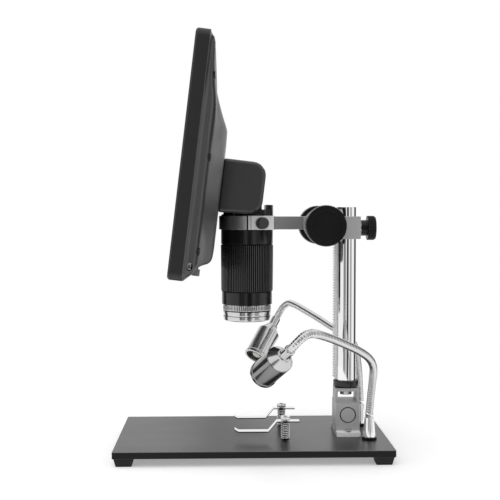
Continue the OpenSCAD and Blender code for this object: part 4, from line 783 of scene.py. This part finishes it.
def makeGooseneck(side, route):
    pivot = Vector(jointOf[side + "_lamp_bend"]["pos_m"])
    thick, deep, steps = gooseneck["radius"], gooseneck["ribDepth"], gooseneck["stepsPerRib"]
    line = [Vector((0, 0, -gooseneck["stiff"]))] + evenLine(route, gooseneck["ribPitch"] / steps)
    radii = [thick - deep * (0.5 - 0.5 * cos(2 * pi * i / steps)) for i in range(len(line))]
    bm = sweep(line, radii, gooseneck["sides"], thick - deep * gooseneck["grooveFrom"])
    bmesh.ops.transform(bm, matrix=Matrix.Translation(pivot), verts=bm.verts)
    arm = newObject(bm, side + "Gooseneck", [finishes["columnChrome"], finishes["coilGroovePaintedShade"]])
    arm.data.shade_smooth()
    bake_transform(arm)
    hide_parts(side + "_gooseneck")


makeGooseneck("near", nearRoute)
makeGooseneck("far", farRoute)
print("gooseneck arms made")

# the stage clips' springs

spring = {"radius": 2.85, "wire": 0.5, "turns": 9, "stepsPerTurn": 20, "sides": 6}


def coilLine(middle, side, bottom, top):  # the wire's middle line, in millimetres
    around, steps = spring["stepsPerTurn"], spring["turns"] * spring["stepsPerTurn"]
    return [Vector((middle + spring["radius"] * cos(2 * pi * i / around),
                    side + spring["radius"] * sin(2 * pi * i / around),
                    bottom + (top - bottom) * i / steps)) for i in range(steps + 1)]


def makeSprings():
    low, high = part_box("clip_springs")
    whole = bmesh.new()
    reach = spring["radius"] + spring["wire"]
    for side in (low.y / mm + reach, high.y / mm - reach):
        line = coilLine((low.x + high.x) / 2 / mm, side, low.z / mm + spring["wire"],
                        high.z / mm - spring["wire"])
        coil = sweep(line, [spring["wire"]] * len(line), spring["sides"])
        mesh = bpy.data.meshes.new("coil")
        coil.to_mesh(mesh)
        coil.free()
        whole.from_mesh(mesh)
        bpy.data.meshes.remove(mesh)
    keepPiece(whole, "clipSprings", ["columnChrome"], ["clip_springs"])


makeSprings()
print("clip springs made")

# the machined and moulded pieces, each its own solid with rounded edges

lampAims = {"near": (-0.40, 0.757, -0.517), "far": (-0.45, -0.52, -0.726)}
lampReach = {"cone": 9.3, "led": 4.2}
# a face that looks up less than upright is the plate's side, which takes painted shade, more than level its top,
# and between them its edge line, painted lighter as a highlight
plate = {"upright": 0.2, "level": 0.97, "lineAbove": 10}
clamp = {"boss": -17, "slitSide": -15, "slit": (-4.5, -3.2)}
flangeTop, cutSide = 15.2, 0.6


def inLamp(side, route, reach):  # a test for what lies within reach of a lamp's middle line
    start = Vector(jointOf[side + "_lamp_bend"]["pos_m"]) / mm + Vector(route[-1])
    way = Vector(lampAims[side]).normalized()
    return lambda at, facing, face: max((vert.co / mm - start).cross(way).length for vert in face.verts) < reach


def onPaintedHighlightLine(at, way):
    return plate["upright"] <= way.z < plate["level"] and at.z > plate["lineAbove"]


def onSlit(at):
    return at.y < clamp["slitSide"] and clamp["slit"][0] < at.x < clamp["slit"][1]


accents = {
    "plate": [("stageEdge", lambda at, way, face: abs(way.z) < plate["upright"]),
              ("wornPaint", lambda at, way, face: onPaintedHighlightLine(at, way))],
    # the flange and the clamp boss take a painted bright reflection
    "flange": [("paleAluminium", lambda at, way, face: at.z < flangeTop)],
    "clamp": [("paleAluminium", lambda at, way, face: at.y < clamp["boss"] and at.x > clamp["slit"][1]),
              ("grooveBlack", lambda at, way, face: onSlit(at))],
    "clip": [("cutSteel", lambda at, way, face: abs(way.y) > cutSide)],
    "nearCone": [("lampSteel", inLamp("near", nearRoute, lampReach["cone"]))],
    "nearLed": [("ledPlastic", inLamp("near", nearRoute, lampReach["led"]))],
    "farLed": [("ledPlastic", inLamp("far", farRoute, lampReach["led"]))],
}
# finish, width of the rounded edge in millimetres, and accents
softPieces = {
    "base_plate": ("stagePaint", 0.35, accents["plate"]), "rubber_feet": ("footRubber", 0.3),
    "foot_screws": ("zincSteel", 0.2), "column_bracket": ("greyCasting", 0.3, accents["flange"]),
    "bracket_screws": ("zincSteel", 0.2), "column_bolt": ("zincSteel", 0.25),
    "column_tube": ("columnChrome", 0.3), "column_cap": ("knobPlastic", 0.4),
    "column_collar": ("collarGloss", 0.2), "gear_rack": ("rackSteel", 0.05),
    "socket_rings": ("knobPlastic", 0.25), "clip_posts": ("blackSteel", 0.2),
    "clip_nuts": ("columnChrome", 0.08),
    "near_clip": ("columnChrome", 0.12, accents["clip"]), "far_clip": ("columnChrome", 0.12, accents["clip"]),
    "near_lamp_socket": ("columnChrome", 0.2), "far_lamp_socket": ("columnChrome", 0.2),
    "near_lamp_shell": ("lampBody", 0.15, accents["nearCone"]), "far_lamp_shell": ("lampSteel", 0.15),
    "near_lamp_led": ("socketBlack", 0.1, accents["nearLed"]),
    "far_lamp_led": ("socketBlack", 0.1, accents["farLed"]),
    "focus_carriage": ("greyCasting", 0.35), "holder_arm": ("armAluminium", 0.3, accents["clamp"]),
    "arm_screws": ("blackSteel", 0.15), "shaft_bushes": ("zincSteel", 0.2), "lock_bush": ("zincSteel", 0.1),
    "lock_knob": ("knobPlastic", 0.2), "lock_stud": ("zincSteel", 0.1), "focus_shaft": ("zincSteel", 0.3),
    "pinion": ("brassGear", 0.05), "focus_knobs": ("knobPlastic", 0.15), "barrel_screw": ("screwCap", 0.08),
    "barrel_tube": ("barrelEnamel", 0.3), "lens_collar": ("barrelEnamel", 0.3),
    "lens_cell": ("blackSteel", 0.2), "objective_lens": ("lensGlass", 0.1), "led_ring": ("ledPlastic", 0.1),
    "sensor_board": ("boardGreen", 0.1), "hinge_yoke": ("barrelEnamel", 0.4), "hinge_pin": ("zincSteel", 0.2),
    "neck_housing": ("neckPlastic", 1.4), "neck_screws": ("zincSteel", 0.2), "cover_screws": ("blackSteel", 0.15),
    "front_bezel": ("housingPlastic", 0.3), "display_glass": ("screenGlass", 0.15),
    "lcd_panel": ("panelFrame", 0.3), "main_board": ("boardGreen", 0.1), "port_sockets": ("zincSteel", 0.1),
    "dimmer_knob": ("dimmerGrey", 0.1), "power_button": ("knobPlastic", 0.25),
    "menu_button": ("knobPlastic", 0.25), "down_button": ("knobPlastic", 0.25),
    "up_button": ("knobPlastic", 0.25), "capture_button": ("knobPlastic", 0.25),
}
softMade = {node: softCopy(node, *look) for node, look in softPieces.items()}
print("machined and moulded pieces made:", len(softPieces))

# the turned groove round the plug in the bracket's block, its inside painted black as shade

plug = {"radius": 6.1, "grooveWidth": 0.75, "grooveDepth": 0.9, "height": 12.0, "foot": 3.5, "recess": 0.6,
        "blockDepth": 27.0, "above": 0.2, "steps": 64, "slack": 0.1}


def cutPlugGroove(bracket):
    low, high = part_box("column_bracket")
    middle = low.z / mm + plug["foot"] + plug["height"]
    place = Vector(((low.x + high.x) / 2 / mm, -plug["blockDepth"] / 2, middle))
    inner, outer, slack = plug["radius"] - plug["grooveWidth"], plug["radius"], plug["slack"]
    deep = plug["recess"] + plug["grooveDepth"]
    corners = [(inner, plug["above"]), (outer, plug["above"]), (outer, -deep), (inner, -deep)]
    ring = lathe(corners + corners[:1], plug["steps"])
    bmesh.ops.transform(ring, matrix=aimed(place * mm, (0, -1, 0)), verts=ring.verts)
    cutAway(bracket, [ring])
    bracket.data.materials.append(finishes["grooveBlack"])
    for face in bracket.data.polygons:
        at = face.center / mm - place
        if inner - slack < at.xz.length < outer + slack and at.y > plug["recess"] + slack / 2:
            face.material_index = len(bracket.data.materials) - 1


cutPlugGroove(softMade["column_bracket"])
print("plug groove cut")
